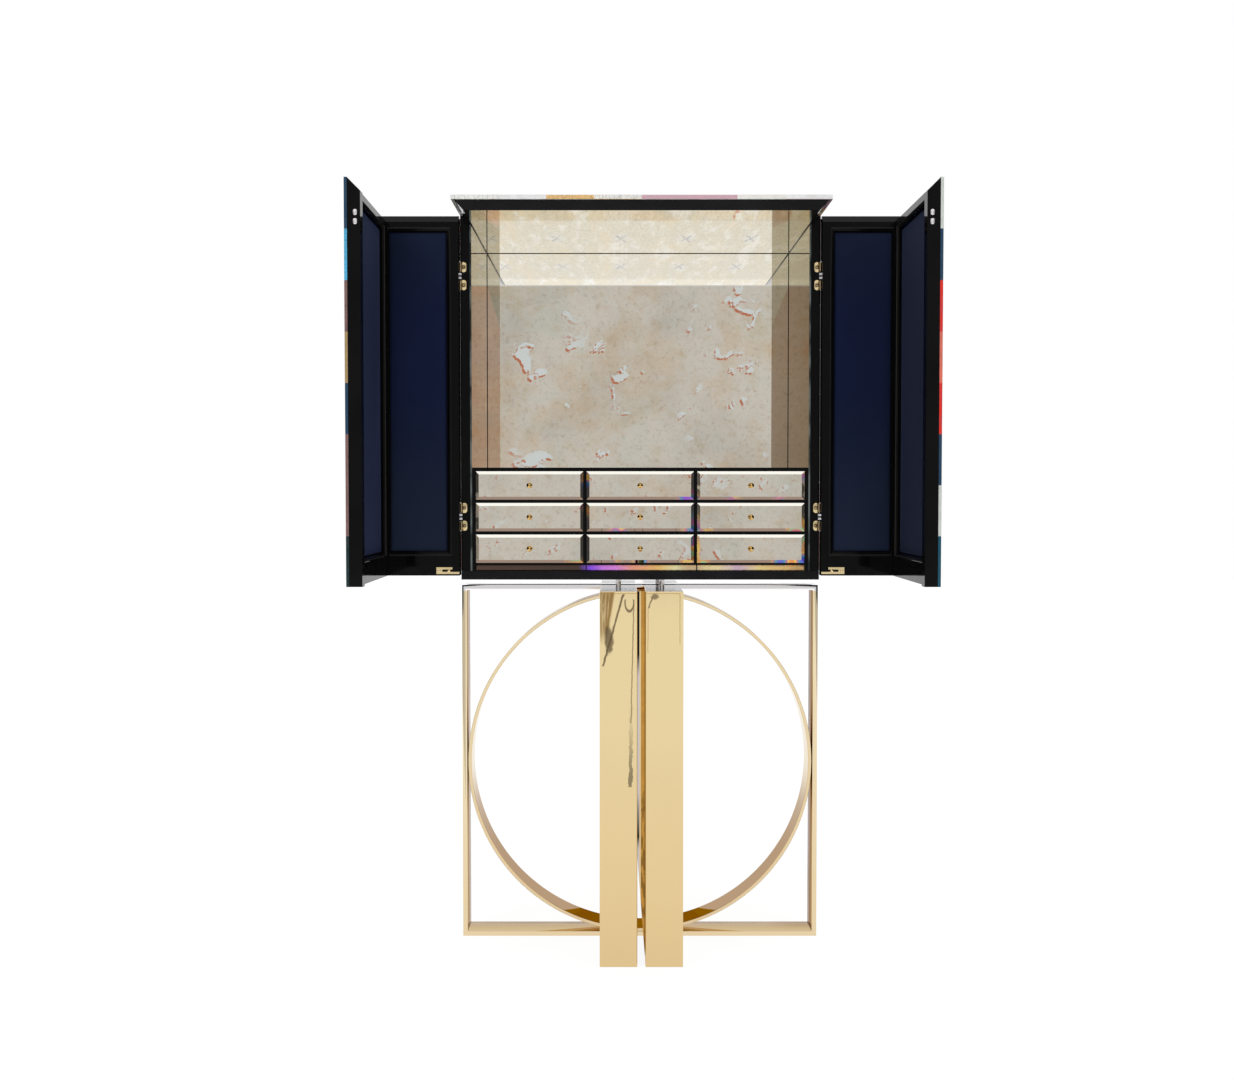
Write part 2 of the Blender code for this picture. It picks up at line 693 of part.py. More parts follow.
def make_column(hand, side):
    """A hollow brass column, notched where the frame and the ring pass through."""
    near, far = COLUMN_GAP / 2, COLUMN_GAP / 2 + COLUMN_WIDTH
    column = add_box(
        f"column_{hand}",
        (side * near, COLUMN_FRONT_Y, 0.0),
        (side * far, COLUMN_BACK_Y, FRAME_HEIGHT),
        "brass",
    )
    edges = column.modifiers.new("edges", "BEVEL")
    edges.width = COLUMN_BEVEL
    edges.segments = 1
    low = (side * (near + COLUMN_WALL), COLUMN_FRONT_Y + COLUMN_WALL, COLUMN_WALL)
    high = (
        side * (far - COLUMN_WALL),
        COLUMN_BACK_Y - COLUMN_WALL,
        FRAME_HEIGHT - COLUMN_WALL,
    )
    cut(column, box_mesh("inside", (low, high)))
    reach = math.sqrt((RING_RADIUS - RING_THICK) ** 2 - far ** 2) - 2 * SEAT_GAP
    front, back = FRAME_Y - SEAT_GAP, FRAME_Y + FRAME_BAR_DEPTH + SEAT_GAP
    past = (side * (near - COLUMN_GAP / 4), side * (far + BEYOND))
    lower = ((past[0], front, -BEYOND), (past[1], back, RING_Z - reach))
    upper = ((past[0], front, RING_Z + reach), (past[1], back, FRAME_HEIGHT + BEYOND))
    cut(column, box_mesh("notches", lower, upper))
    top = CASE_BOTTOM - SEAT_GAP
    low_z = FRAME_HEIGHT - COLUMN_WALL / 2
    for place, y in (("front", FRONT_STUD), ("rear", REAR_STUD)):
        centre = (side * (near + far) / 2, FRONT_Y + y, (top + low_z) / 2)
        join(column, cylinder_mesh(f"stud_{place}", centre, STUD_RADIUS, top - low_z))


def make_stand():
    make_frame()
    make_ring()
    for hand, side in SIDES.items():
        make_column(hand, side)


make_case()
make_drawer_case()
for drawer_column in range(DRAWER_COLUMNS):
    for drawer_row in range(DRAWER_ROWS):
        make_drawer(drawer_column, drawer_row)
for door_hand, door_side in SIDES.items():
    make_door(door_hand, door_side)
make_stand()
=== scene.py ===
"""Dresses a wine cabinet on a brass stand: finishes, tiles, pads, fittings and stage.

Metres, +Z up, +Y towards the back. Each piece rides on the cabinet or on a moving part.
"""

import math
import random

import bmesh
import bpy
from bmesh.types import BMFace, BMVert
from bpy.props import FloatProperty, FloatVectorProperty, IntProperty, PointerProperty
from bpy.types import Operator, Panel, PropertyGroup
from mathutils import Matrix, Vector


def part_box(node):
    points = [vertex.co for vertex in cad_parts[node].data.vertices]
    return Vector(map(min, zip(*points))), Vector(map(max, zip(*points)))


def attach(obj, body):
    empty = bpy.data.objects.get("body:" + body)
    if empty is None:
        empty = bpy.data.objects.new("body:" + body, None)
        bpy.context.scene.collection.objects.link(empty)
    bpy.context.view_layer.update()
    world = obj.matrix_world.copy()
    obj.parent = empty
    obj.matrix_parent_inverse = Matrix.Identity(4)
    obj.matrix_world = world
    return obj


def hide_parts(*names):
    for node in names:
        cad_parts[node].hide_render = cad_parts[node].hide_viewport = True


bl_info = {
    "name": "Wine Cabinet",
    "version": (1, 0, 0),
    "blender": (4, 5, 0),
    "location": "3D View > Sidebar > Cabinet",
    "description": "Finishes, tiles, pads and fittings of a wine cabinet on a brass stand",
    "category": "Object",
}

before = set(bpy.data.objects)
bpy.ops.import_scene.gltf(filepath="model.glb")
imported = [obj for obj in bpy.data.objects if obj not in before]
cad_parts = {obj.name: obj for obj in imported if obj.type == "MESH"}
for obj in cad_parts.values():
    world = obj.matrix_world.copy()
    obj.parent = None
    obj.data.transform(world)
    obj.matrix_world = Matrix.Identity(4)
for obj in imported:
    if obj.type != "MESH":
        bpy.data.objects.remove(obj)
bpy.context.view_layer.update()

SIDES = {"left": -1, "right": 1}
LEVELS = ("upper", "lower")
DRAWERS = [f"drawer_{column}{row}" for column in "abc" for row in (1, 2, 3)]
X, Y, Z = Vector((1, 0, 0)), Vector((0, 1, 0)), Vector((0, 0, 1))

# Sizes that come from the frame
TOP_LOW, TOP_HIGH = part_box("top_board")
SIDE_LOW, SIDE_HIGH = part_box("side_board_right")
RETURN_LOW, RETURN_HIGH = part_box("return_panel_right")
PANEL_LOW, PANEL_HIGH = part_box("front_panel_right")
HALF_CASE = SIDE_HIGH.x
FRONT_Y = SIDE_LOW.y
DOOR_THICK = RETURN_HIGH.y - RETURN_LOW.y
DOOR_DEPTH = PANEL_HIGH.x - HALF_CASE

# Sizes of the added pieces
SKIN_THICK = 0.006
TOP_SKIN = 0.0091
MOULDING_STEP = 0.009
MOULDING_DEPTH = 0.004
MOULDING_GAP = 0.0008
PAD_GAP = 0.0004
PAD_MESH = 0.0062
CLOTH_STEPS = 20
LUG_RISE = 0.0213
LUG_THICK = 0.0006
LUG_INSET = 0.0076
LUG_HALF = 0.012
CATCH_HEIGHTS = (1.671, 1.652)
SEAL_GAP = 0.001
BEAD = 0.0012
WEB_FRONT, WEB_BACK, WEB_LOW, WEB_SLANT, WEB_HIGH = 0.066, 0.069, 0.0015, 0.25, 0.858
RING_THICK = 0.008
FRAME_BAR, FRAME_TOP_BAR = 0.0113, 0.0125
SOFT_EDGE = 0.0005

# The photograph's width and focal length in pixels, and a sensor's width in millimetres
PHOTO_WIDTH, FOCAL_LENGTH, SENSOR = 1234, 1412.3, 36.0
CAMERA_DISTANCE = 3.3932

# Tile colours: pale ones lie on the top, deep ones on the doors and the sides
PALE_TILES = (
    (0.78, 0.76, 0.72), (0.62, 0.36, 0.14), (0.85, 0.84, 0.80), (0.80, 0.50, 0.20),
    (0.62, 0.38, 0.44), (0.76, 0.84, 0.82), (0.84, 0.83, 0.82), (0.82, 0.80, 0.74),
)
DEEP_TILES = (
    (0.10, 0.20, 0.24), (0.72, 0.03, 0.02), (0.01, 0.03, 0.03), (0.10, 0.48, 0.76),
    (0.24, 0.13, 0.12), (0.01, 0.08, 0.13), (0.72, 0.16, 0.11), (0.60, 0.62, 0.58),
    (0.02, 0.05, 0.10), (0.42, 0.28, 0.12),
)
SPECTRUM = (
    (0.30, 0.02, 0.85), (0.02, 0.16, 0.80), (0.02, 0.42, 0.50), (0.60, 0.08, 0.45),
    (0.95, 0.70, 0.12), (0.95, 0.28, 0.05), (0.30, 0.75, 0.35), (0.70, 0.05, 0.20),
)
WHITE = (1.0, 1.0, 1.0)
NICKEL = (0.90, 0.88, 0.90)
STEEL = (0.62, 0.60, 0.60)
BRONZE = (0.55, 0.42, 0.24)
DARK_BROWN = (0.13, 0.09, 0.045)
RUSSET = (0.46, 0.24, 0.06)
RUST = (0.66, 0.20, 0.09)

# How much paler the lacquer is painted on the rails that catch the light: painted light
RAIL_PAINTED_LIGHT = 3.5

# The marbling of a mirror stops below a clear band: its height, and how far it climbs for
# each metre towards the back
BACK_BAND = (1.639, 0.0)
SIDE_BAND = (1.579, 0.1445)
# Grazing tints of the side mirrors below and above the band; the right one's lower tint is darker, as
# painted shade
SIDE_EDGES = {
    "left": ((0.98, 0.76, 0.60), (0.60, 0.56, 0.46)),
    "right": ((0.60, 0.50, 0.38), (0.60, 0.56, 0.46)),
}

# The room that metal reflects: bands of brightness from below (-1) to above (1)
SKY_BANDS = ((-1.0, 1.0), (-0.066, 1.0), (-0.058, 0.64), (0.20, 0.64), (0.40, 1.0))


def tint(name, description, default):
    return FloatVectorProperty(
        name=name, description=description, subtype="COLOR", min=0, max=1, default=default
    )


def length(name, description, low, high, default):
    return FloatProperty(
        name=name, description=description, unit="LENGTH", min=low, max=high, default=default
    )


class CabinetColours(PropertyGroup):
    """Colours of the finishes."""

    lacquer: tint("Lacquer", "Black lacquer of the boards and doors", (0.0018, 0.0018, 0.0021))
    back_mirror: tint("Back Mirror", "Tint of the mirrors that face the front", (0.87, 0.82, 0.73))
    side_mirror: tint("Side Mirror", "Tint of the marbled mirrors at the sides", (0.40, 0.27, 0.17))
    ceiling: tint("Ceiling", "Tint of the polished ceiling slab", (0.655, 0.590, 0.420))
    brass: tint("Brass", "Polished brass of the stand and the fittings", (0.82, 0.66, 0.37))
    velvet: tint("Velvet", "Navy velvet of the pads", (0.0075, 0.012, 0.040))


class CabinetSizes(PropertyGroup):
    """Sizes of the added pieces."""

    tile_rise: length("Tile Rise", "How far a tile stands off its panel", 0.0002, 0.002, 0.0008)
    tile_joint: length("Tile Joint", "Width of the dark joint between two tiles", 0.0004, 0.004, 0.0012)
    tile_bevel: length("Tile Bevel", "Width of the slope at a tile's edge", 0.0004, 0.006, 0.0018)
    pad_crown: length("Pad Crown", "Furthest that a pad swells out of its field", 0.0, 0.006, 0.0028)
    screw_radius: length("Screw Radius", "Radius of the heads of the hinge screws", 0.001, 0.004, 0.0026)
    ring_steps: IntProperty(
        name="Ring Steps", description="Flats round the stand's ring", min=64, max=512, default=256
    )


# Materials


def rgba(colour):
    return (*colour[:3], 1.0)


def scaled(colour, share):
    return tuple(min(1.0, part * share) for part in colour[:3])


class Value:
    """What a node gives, with the sums that a finish makes of it."""

    def __init__(self, nodes, socket):
        self.nodes, self.socket = nodes, socket

    def __rsub__(self, other):
        return self.nodes.maths("SUBTRACT", other, self)

    __add__, __sub__, __mul__, __truediv__, __or__ = (
        lambda self, other, sum=sum: self.nodes.maths(sum, self, other)
        for sum in ("ADD", "SUBTRACT", "MULTIPLY", "DIVIDE", "MAXIMUM")
    )

    def __abs__(self):
        return self.nodes.maths("ABSOLUTE", self)

    def rise(self, low, high, bottom=0.0, top=1.0):
        """Goes smoothly from bottom to top while the value goes from low to high."""
        inputs = {"Value": self, "From Min": low, "From Max": high, "To Min": bottom, "To Max": top}
        return self.nodes.node("ShaderNodeMapRange", inputs, interpolation_type="SMOOTHSTEP")

    def fall(self, low, high):
        return self.rise(low, high, 1.0, 0.0)

    def mix(self, share, other, blend="MIX"):
        """Lays another colour over this one."""
        return self.nodes.mix(share, self, other, blend)


class Nodes:
    """Short calls that add nodes to a tree, read at Object coordinates."""

    def __init__(self, tree):
        self.tree = tree
        coordinates = tree.nodes.new("ShaderNodeTexCoord").outputs
        self.place, self.normal, self.towards = (
            Value(self, coordinates[name]) for name in ("Object", "Normal", "Generated")
        )

    def node(self, kind, inputs=None, output=0, **settings):
        """Adds a node and gives one of its outputs."""
        made = self.tree.nodes.new(kind)
        for key, value in settings.items():
            setattr(made, key, value)
        for key, value in (inputs or {}).items():
            self.put(made.inputs[key], value)
        return Value(self, made.outputs[output])

    def put(self, socket, value):
        if isinstance(value, Value):
            self.tree.links.new(value.socket, socket)
        else:
            socket.default_value = value

    def part(self, letter, vector):
        return self.node("ShaderNodeSeparateXYZ", {0: vector}, letter)

    def moved(self, shift=(0, 0, 0), turn=(0, 0, 0), stretch=(1, 1, 1)):
        inputs = {"Vector": self.place, "Location": shift, "Rotation": turn, "Scale": stretch}
        return self.node("ShaderNodeMapping", inputs)

    def noise(self, scale, detail=2.0, roughness=0.5, distortion=0.0, **move):
        inputs = {
            "Vector": self.moved(**move) if move else self.place, "Scale": scale,
            "Detail": detail, "Roughness": roughness, "Distortion": distortion,
        }
        return self.node("ShaderNodeTexNoise", inputs)

    def maths(self, operation, first, second=0.0, clamp=False):
        inputs = {0: first, 1: second}
        return self.node("ShaderNodeMath", inputs, operation=operation, use_clamp=clamp)

    def vector_maths(self, operation, *vectors, output=0):
        inputs = dict(enumerate(vectors))
        return self.node("ShaderNodeVectorMath", inputs, output, operation=operation)

    def span(self, first, second):
        """The length of a line that goes first one way and second the other."""
        return self.maths("SQRT", first * first + second * second)

    def mix(self, share, first, second, blend="MIX"):
        inputs = {0: share}
        for key, colour in ((6, first), (7, second)):
            inputs[key] = colour if isinstance(colour, Value) else rgba(colour)
        return self.node("ShaderNodeMix", inputs, 2, data_type="RGBA", blend_type=blend)

    def ramp(self, value, stops, interpolation="LINEAR"):
        made = self.node("ShaderNodeValToRGB", {0: value})
        ramp = made.socket.node.color_ramp
        ramp.interpolation = interpolation
        ramp.elements[0].position, ramp.elements[0].color = stops[0][0], rgba(stops[0][1])
        ramp.elements.remove(ramp.elements[1])
        for position, colour in stops[1:]:
            ramp.elements.new(position).color = rgba(colour)
        return made

    def bump(self, height, distance, strength):
        inputs = {"Height": height, "Distance": distance, "Strength": strength}
        return self.node("ShaderNodeBump", inputs)

    def rays(self):
        """Whether a ray is glossy, and whether it shows the camera what it meets."""
        glossy, camera, through = (
            self.node("ShaderNodeLightPath", output=f"Is {kind} Ray")
            for kind in ("Glossy", "Camera", "Transmission")
        )
        return glossy, camera | through

    def blend(self, share, first, second):
        return self.node("ShaderNodeMixShader", {0: share, 1: first, 2: second})


class Finish(Nodes):
    """A material, and the calls that build it."""

    def __init__(self, name):
        self.material = bpy.data.materials.new(name)
        self.material.use_nodes = True
        super().__init__(self.material.node_tree)
        self.x, self.y, self.z = (self.part(letter, self.place) for letter in "XYZ")

    def set(self, **values):
        """Sets the shader's sockets, with an underscore for a space in a name."""
        for key, value in values.items():
            self.put(self.tree.nodes["Principled BSDF"].inputs[key.replace("_", " ")], value)

    def facing(self, letter):
        """The surface normal's part along an axis of the piece itself."""
        return self.part(letter, self.normal)

    def front(self, share=1.0):
        """The faces that look to the front."""
        return self.facing("Y").rise(-0.9, -0.8, share, 0.0)


def coated(build, *values, name=None):
    """The material that build lays out, made the first time that it is asked for."""
    name = name or build.__name__
    if name not in bpy.data.materials:
        build(Finish(name), *values)
    return bpy.data.materials[name]


def paint(node, build, *values, name=None):
    for material_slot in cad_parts[node].material_slots:
        material_slot.material = coated(build, *values, name=name)


def colours():
    return bpy.context.scene.cabinet_colours


def sizes():
    return bpy.context.scene.cabinet_sizes


def black_lacquer(finish, lift=1.0):
    """Gloss with the slow waves of a hand-rubbed coat and a little dust; lift paints it paler, as
    painted light.
    """
    black = scaled(colours().lacquer, lift)
    coat = finish.ramp(finish.noise(9, 3), [(0.3, black), (0.8, scaled(black, 2.2))])
    finish.set(
        Base_Color=coat, Roughness=finish.noise(420, 2).rise(0.2, 0.9, 0.03, 0.11),
        Specular_IOR_Level=0.09, Normal=finish.bump(finish.noise(26, 1), 0.0006, 0.35),
    )
    return coat


def seal_rubber(finish):
    """Matt black seal with a fine tooth."""
    tooth = finish.noise(700, 3)
    finish.set(
        Base_Color=finish.ramp(tooth, [(0.3, (0.002,) * 3), (0.7, (0.005,) * 3)]),
        Roughness=tooth.rise(0.3, 0.8, 0.7, 0.85), Specular_IOR_Level=0.04,
    )


def hinge_leaf(finish):
    """A hinge leaf lacquered with its board, and a bare knuckle."""
    coat = black_lacquer(finish)
    line = abs(finish.x).rise(HALF_CASE - 0.0034, HALF_CASE - 0.0031)
    finish.set(Base_Color=coat.mix(line, BRONZE), Metallic=line)


def from_hinge(finish):
    """The height above or below the middle of the nearest hinge."""
    lower, upper = (middle(f"hinge_fixed_{level}_right").z for level in ("lower", "upper"))
    return abs(abs(finish.z - (lower + upper) / 2) - (upper - lower) / 2)


def hinge_knuckle(finish):
    """The door's leaf and knuckle: lacquered, with two bright washers."""
    coat, height = black_lacquer(finish), from_hinge(finish)
    washer = height.rise(0.0017, 0.0021) * height.fall(0.0070, 0.0074)
    finish.set(Base_Color=coat.mix(washer, NICKEL), Metallic=washer * 0.4)


def hinge_lug(finish):
    """A polished lug with painted shade as a dark ring round its screw, like a countersink."""
    colour = polished_brass(finish, 0.85)
    reach = finish.span(from_hinge(finish) - LUG_RISE, abs(finish.x) - (HALF_CASE - LUG_INSET))
    reach += finish.noise(160, 2) * 0.004
    # Painted shade: a dark ring round the screw
    countersink_shade = reach.rise(0.0036, 0.0044) * reach.rise(0.0062, 0.0072, 0.9, 0.0)
    finish.set(Base_Color=colour.mix(countersink_shade, (0.07, 0.045, 0.02)))


def moulding_lacquer(finish):
    """Lacquer with a painted highlight: a little paler on its sloped faces."""
    coat = black_lacquer(finish)
    flat = abs(finish.facing("X")) | abs(finish.facing("Y")) | abs(finish.facing("Z"))
    # Painted highlight on the sloped faces
    finish.set(Base_Color=coat.mix(flat.rise(0.80, 0.96, 0.8, 0.0), (0.042, 0.038, 0.032)))


def tile_layers(finish, origin, cell, palette):
    """Each cell of the grid takes its own lacquer, and some take leaf."""
    shift = [-start / size for start, size in zip(origin, cell)]
    number = finish.vector_maths("FLOOR", finish.moved(shift, stretch=[1 / size for size in cell]))
    other = finish.vector_maths("ADD", number, (17.3, 5.1, 9.7))
    pick, leaf = (
        finish.node("ShaderNodeTexWhiteNoise", {"Vector": each}, "Value") for each in (number, other)
    )
    leaf = finish.maths("GREATER_THAN", leaf, 0.68)
    stops = [(index / len(palette), colour) for index, colour in enumerate(palette)]
    cloud = finish.noise(34, 6, 0.68)
    colour = finish.ramp(pick, stops, "CONSTANT")
    colour = colour.mix(cloud.rise(0.3, 0.75, 0.0, 0.3), scaled(palette[0], 0.5))
    creases = finish.node(
        "ShaderNodeTexVoronoi", {"Vector": finish.place, "Scale": 95}, "Distance",
        feature="DISTANCE_TO_EDGE",
    )
    creases = creases.fall(0.0, 0.05) * leaf
    colour = colour.mix(creases * 0.6, (0.06, 0.04, 0.03))
    return colour, cloud.rise(0.2, 0.8, 0.07, 0.16) + leaf * 0.16, leaf, creases


def tile_lacquer(finish, origin, cell, palette):
    colour, rough, leaf, creases = tile_layers(finish, origin, cell, palette)
    finish.set(
        Base_Color=colour, Roughness=rough, Metallic=leaf * 0.85, Coat_Weight=0.6,
        Coat_Roughness=0.05, Normal=finish.bump(finish.noise(30, 2) - creases, 0.0004, 0.4),
    )


def skinned_lacquer(finish, letter, start, lift, origin, cell, palette):
    """Black lacquer whose outer skin, past a plane, shows the tiles' edges."""
    coat = black_lacquer(finish, lift)
    side = "GREATER_THAN" if start > 0 else "LESS_THAN"
    past = finish.maths(side, finish.part(letter, finish.place), start)
    finish.set(Base_Color=coat.mix(past, tile_layers(finish, origin, cell, palette)[0]))


def marbling(finish, hue, flakes=1.0, fine=1.0, pale=0.85):
    """Clouds, fine specks and torn flakes with a rust-coloured edge on one side."""
    shades = [(0.30, (0.82,) * 3), (0.52, (0.96,) * 3), (0.72, WHITE)]
    colour = finish.ramp(finish.noise(4.5, 7, 0.62), shades)
    for scale, shift, low, share, stain in (
        (5.5, (1.2, 0.0, 4.1), 0.47, 0.55, (0.96, 0.80, 0.62)),
        (8.0, (3.1, 0.4, 1.7), 0.48, 0.55, (0.88, 0.95, 0.94)),
        (26.0, (6.2, 1.4, 0.7), 0.50, 0.40, (0.90, 0.76, 0.60)),
        (90.0, (0.0, 0.0, 0.0), 0.50, 0.40, (0.62, 0.56, 0.50)),
        (240.0, (2.0, 1.0, 3.0), 0.52, 0.35, (0.62, 0.56, 0.50)),
    ):
        part = finish.noise(scale, 5, 0.66, 0.3, shift=shift).rise(low, low + 0.20)
        colour = colour.mix(part * share, stain, "MULTIPLY")
    colour = colour.mix(1.0, hue, "MULTIPLY")
    patch = finish.noise(5.5 * fine, 1, shift=(2.3, 2.2, 5.4)).rise(0.39, 0.46) * flakes
    torn, near, gaps = (
        finish.noise(scale * fine, 5, 0.64, 0.7, shift=shift)
        for scale, shift in (
            (12, (0, 0, 0)), (12, (0.0045, 0.0, 0.0060 / fine)), (24, (4.0, 2.0, 1.0)),
        )
    )
    flake = torn.rise(0.606, 0.612) * patch
    edge = near.rise(0.604, 0.612) * patch * gaps.rise(0.42, 0.48)
    edge = finish.maths("SUBTRACT", edge, flake, clamp=True)
    return colour.mix(edge * 0.9, RUST).mix(flake * pale, (0.88, 0.96, 0.97)), flake


def mirror(finish, hue, clear, band, edges=None):
    """A marbled mirror with a clear band along its top; edges tint it seen from the side."""
    colour, flake = marbling(finish, hue, abs(finish.x).fall(0.33, 0.36))
    height, climb = band
    upper = (finish.z - finish.y * climb).rise(height - 0.001, height + 0.001)
    colour = colour.mix(upper, clear)
    finish.set(Base_Color=colour, Metallic=1.0, Roughness=flake.rise(0.0, 1.0, 0.012, 0.05))
    if edges:
        tones = [(0.40, (0.035, 0.042, 0.040)), (0.62, (0.20, 0.23, 0.22))]
        glass = finish.ramp(finish.noise(14, 3), tones)
        # The grazing tint comes from edges; the right mirror's is darker, as painted shade
        finish.set(Specular_Tint=finish.mix(upper, *edges), Base_Color=colour.mix(finish.front(), glass))


def polished_ceiling(finish):
    """The polished slab: cream, finely veined, with a row of crossed cracks."""
    cream = scaled(colours().ceiling, 1.0)
    shade = cream
    for scale, detail, low, share, hue in (
        (150, 4, 0.46, 0.55, scaled(cream, 0.62)), (14, 5, 0.46, 0.5, (0.74, 0.56, 0.28)),
        (60, 4, 0.48, 0.5, (0.56, 0.46, 0.28)), (22, 4, 0.50, 0.6, (0.86, 0.84, 0.76)),
    ):
        grain = finish.noise(scale, detail, 0.7, stretch=(1, 0.2, 1))
        shade = finish.mix(grain.rise(low, low + 0.15, 0.0, share), shade, hue)
    cell = finish.moved((0.779, 0.229, 0.0), stretch=(1 / 0.1633, 1 / 0.7, 1.0))
    inside = finish.vector_maths("FRACTION", cell)
    wander = (finish.noise(70, 3) - 0.5) * 0.14
    across, along = finish.part("X", inside) - 0.5, (finish.part("Y", inside) - 0.5) * 1.3
    cracks = (
        abs(line + wander).rise(0.010, 0.028, 1.0, 0.0) for line in (across + along, across - along)
    )
    near = (abs(across) + abs(along)).fall(0.12, 0.20)
    cross = finish.maths("MAXIMUM", *cracks) * near * finish.noise(75, 2).rise(0.36, 0.50)
    shade = shade.mix(near * 0.35, (0.72, 0.72, 0.70)).mix(cross * 0.9, (0.20, 0.20, 0.23))
    shade = shade.mix(finish.y.fall(-0.075, -0.020), (1.26, 1.32, 1.48), "MULTIPLY")
    finish.set(Base_Color=shade, Metallic=1.0, Roughness=0.05)


def bevelled_mirror_glass(finish):
    """A marbled mirror with painted reflections on its sloped edges: a painted highlight on top, painted
    shade below and at the sides, and painted rainbow light where they split the light.
    """
    colour, _ = marbling(finish, colours().back_mirror, 1.0, 1.9, 0.5)
    up, side = finish.facing("Z"), abs(finish.facing("X")).rise(0.08, 0.16)
    bottom = up.fall(-0.16, -0.08)
    # Painted highlight on the upward bevels, painted shade on the downward ones
    colour = colour.mix(up.rise(0.08, 0.16), (0.98, 0.97, 0.90)).mix(bottom, (0.34, 0.25, 0.20))
    central = finish.x.rise(-0.18, -0.17) * finish.x.fall(0.134, 0.138)
    outer = side * (1.0 - central)
    # Painted shade and reflection on the side bevels: dark on the middle drawers, dark or brown patches
    # on the outer ones, which lose their metal
    shadow = finish.noise(16, 2, shift=(0.4, 0, 2.6)).rise(0.52, 0.56, 1.0, 0.15)
    colour = colour.mix(side * central, (0.12, 0.12, 0.12))
    colour = colour.mix(outer, finish.mix(shadow, (0.04, 0.035, 0.03), (0.46, 0.39, 0.29)))
    # Painted rainbow light on the side and bottom bevels
    hue = finish.noise(20, 1, shift=(1.7, 0, 3.3))
    hue = finish.ramp(hue, [(0.28 + 0.06 * index, colour) for index, colour in enumerate(SPECTRUM)])
    light = finish.noise(11, 1, shift=(5.1, 0, 8.2)).rise(0.50, 0.64)
    light *= finish.x.rise(-0.20, -0.12, 0.0, 0.75)
    colour = colour.mix(light * (side | bottom), hue)
    finish.set(Base_Color=colour, Metallic=1.0 - outer, Roughness=0.015)


def plinth_mirror_glass(finish):
    """The plinth's sloped strip, with painted reflections from end to end: dark at the left, then the
    rainbow of light that it splits, with dark seams.
    """
    wobble = (finish.noise(14, 3) - 0.5) * 0.10
    # Painted reflections along the strip, from dark to a rainbow of split light
    colour = finish.ramp(finish.x * 1.24 + 0.5 + wobble, [
        (0.00, (0.110, 0.070, 0.050)), (0.31, (0.080, 0.050, 0.040)), (0.35, (0.30, 0.10, 0.95)),
        (0.42, (0.85, 0.30, 0.90)), (0.48, (1.00, 0.42, 0.30)), (0.55, (1.00, 0.62, 0.20)),
        (0.62, (0.95, 0.90, 0.50)), (0.67, (0.70, 0.52, 0.30)), (0.73, (1.00, 0.84, 0.46)),
        (0.79, (0.72, 0.52, 0.70)), (0.85, (1.00, 0.78, 0.34)), (0.94, (0.90, 0.58, 0.24)),
        (1.00, (0.40, 0.24, 0.12)),
    ])
    for seam in (-0.130, 0.136):
        colour = colour.mix(abs(finish.x - seam).rise(0.0012, 0.0020, 0.95, 0.0), (0.01, 0.01, 0.01))
    finish.set(Base_Color=colour, Metallic=0.6, Roughness=0.03)


def polished_brass(finish, bright=1.0, still=0.0):
    """Polished brass with faint drawn lines and slow clouding; still parts have neither."""
    metal = scaled(colours().brass, bright)
    cloud = finish.noise(6, 4)
    colour = finish.ramp(cloud, [(0.3, scaled(metal, 0.97)), (0.7, metal)])
    # Painted shade: deeper and more orange towards the floor
    colour = colour.mix(finish.z.rise(0.0, 0.8, 0.35, 0.0), (0.80, 0.58, 0.29))
    worked = 1.0 - still
    finish.set(
        Base_Color=colour, Metallic=1.0, Roughness=cloud.rise(0.3, 0.8, 0.05, 0.10) * worked + 0.01,
        Normal=finish.bump(finish.noise(40, 2, stretch=(1, 1, 40)), 0.00008, worked * 0.15),
    )
    return colour


def painted_top_highlight(finish, colour, more=0.0):
    """A painted highlight: near-white on the topmost faces, and wherever else is asked for."""
    top = finish.facing("Z").rise(0.8, 0.9) * finish.z.rise(0.83, 0.84)
    finish.set(Base_Color=colour.mix(top | more, (0.98, 0.96, 0.98)))


def stroke(finish, start, lean, low, high, width):
    """A ragged line that falls from start at the height high, and leans aside as it goes."""
    ragged = (finish.noise(90, 3) - 0.5) * (width * 2)
    line = finish.x + ragged - ((finish.z - high) * lean + start)
    length = finish.z.rise(low, low + 0.004) * finish.z.fall(high - 0.002, high)
    return abs(line).fall(width * 0.6, width) * length


def oval(finish, x, z, wide, tall):
    """How far a point lies out from the middle of an oval, whose rim is at 1."""
    return finish.span((finish.x - x) / wide, (finish.z - z) / tall)


# A painted reflection: a ragged dark blot round a point
def reflected_blot(finish, x, z, wide, tall):
    return (oval(finish, x, z, wide, tall) + finish.noise(70, 4, 0.7) * 1.2).fall(1.2, 1.7)


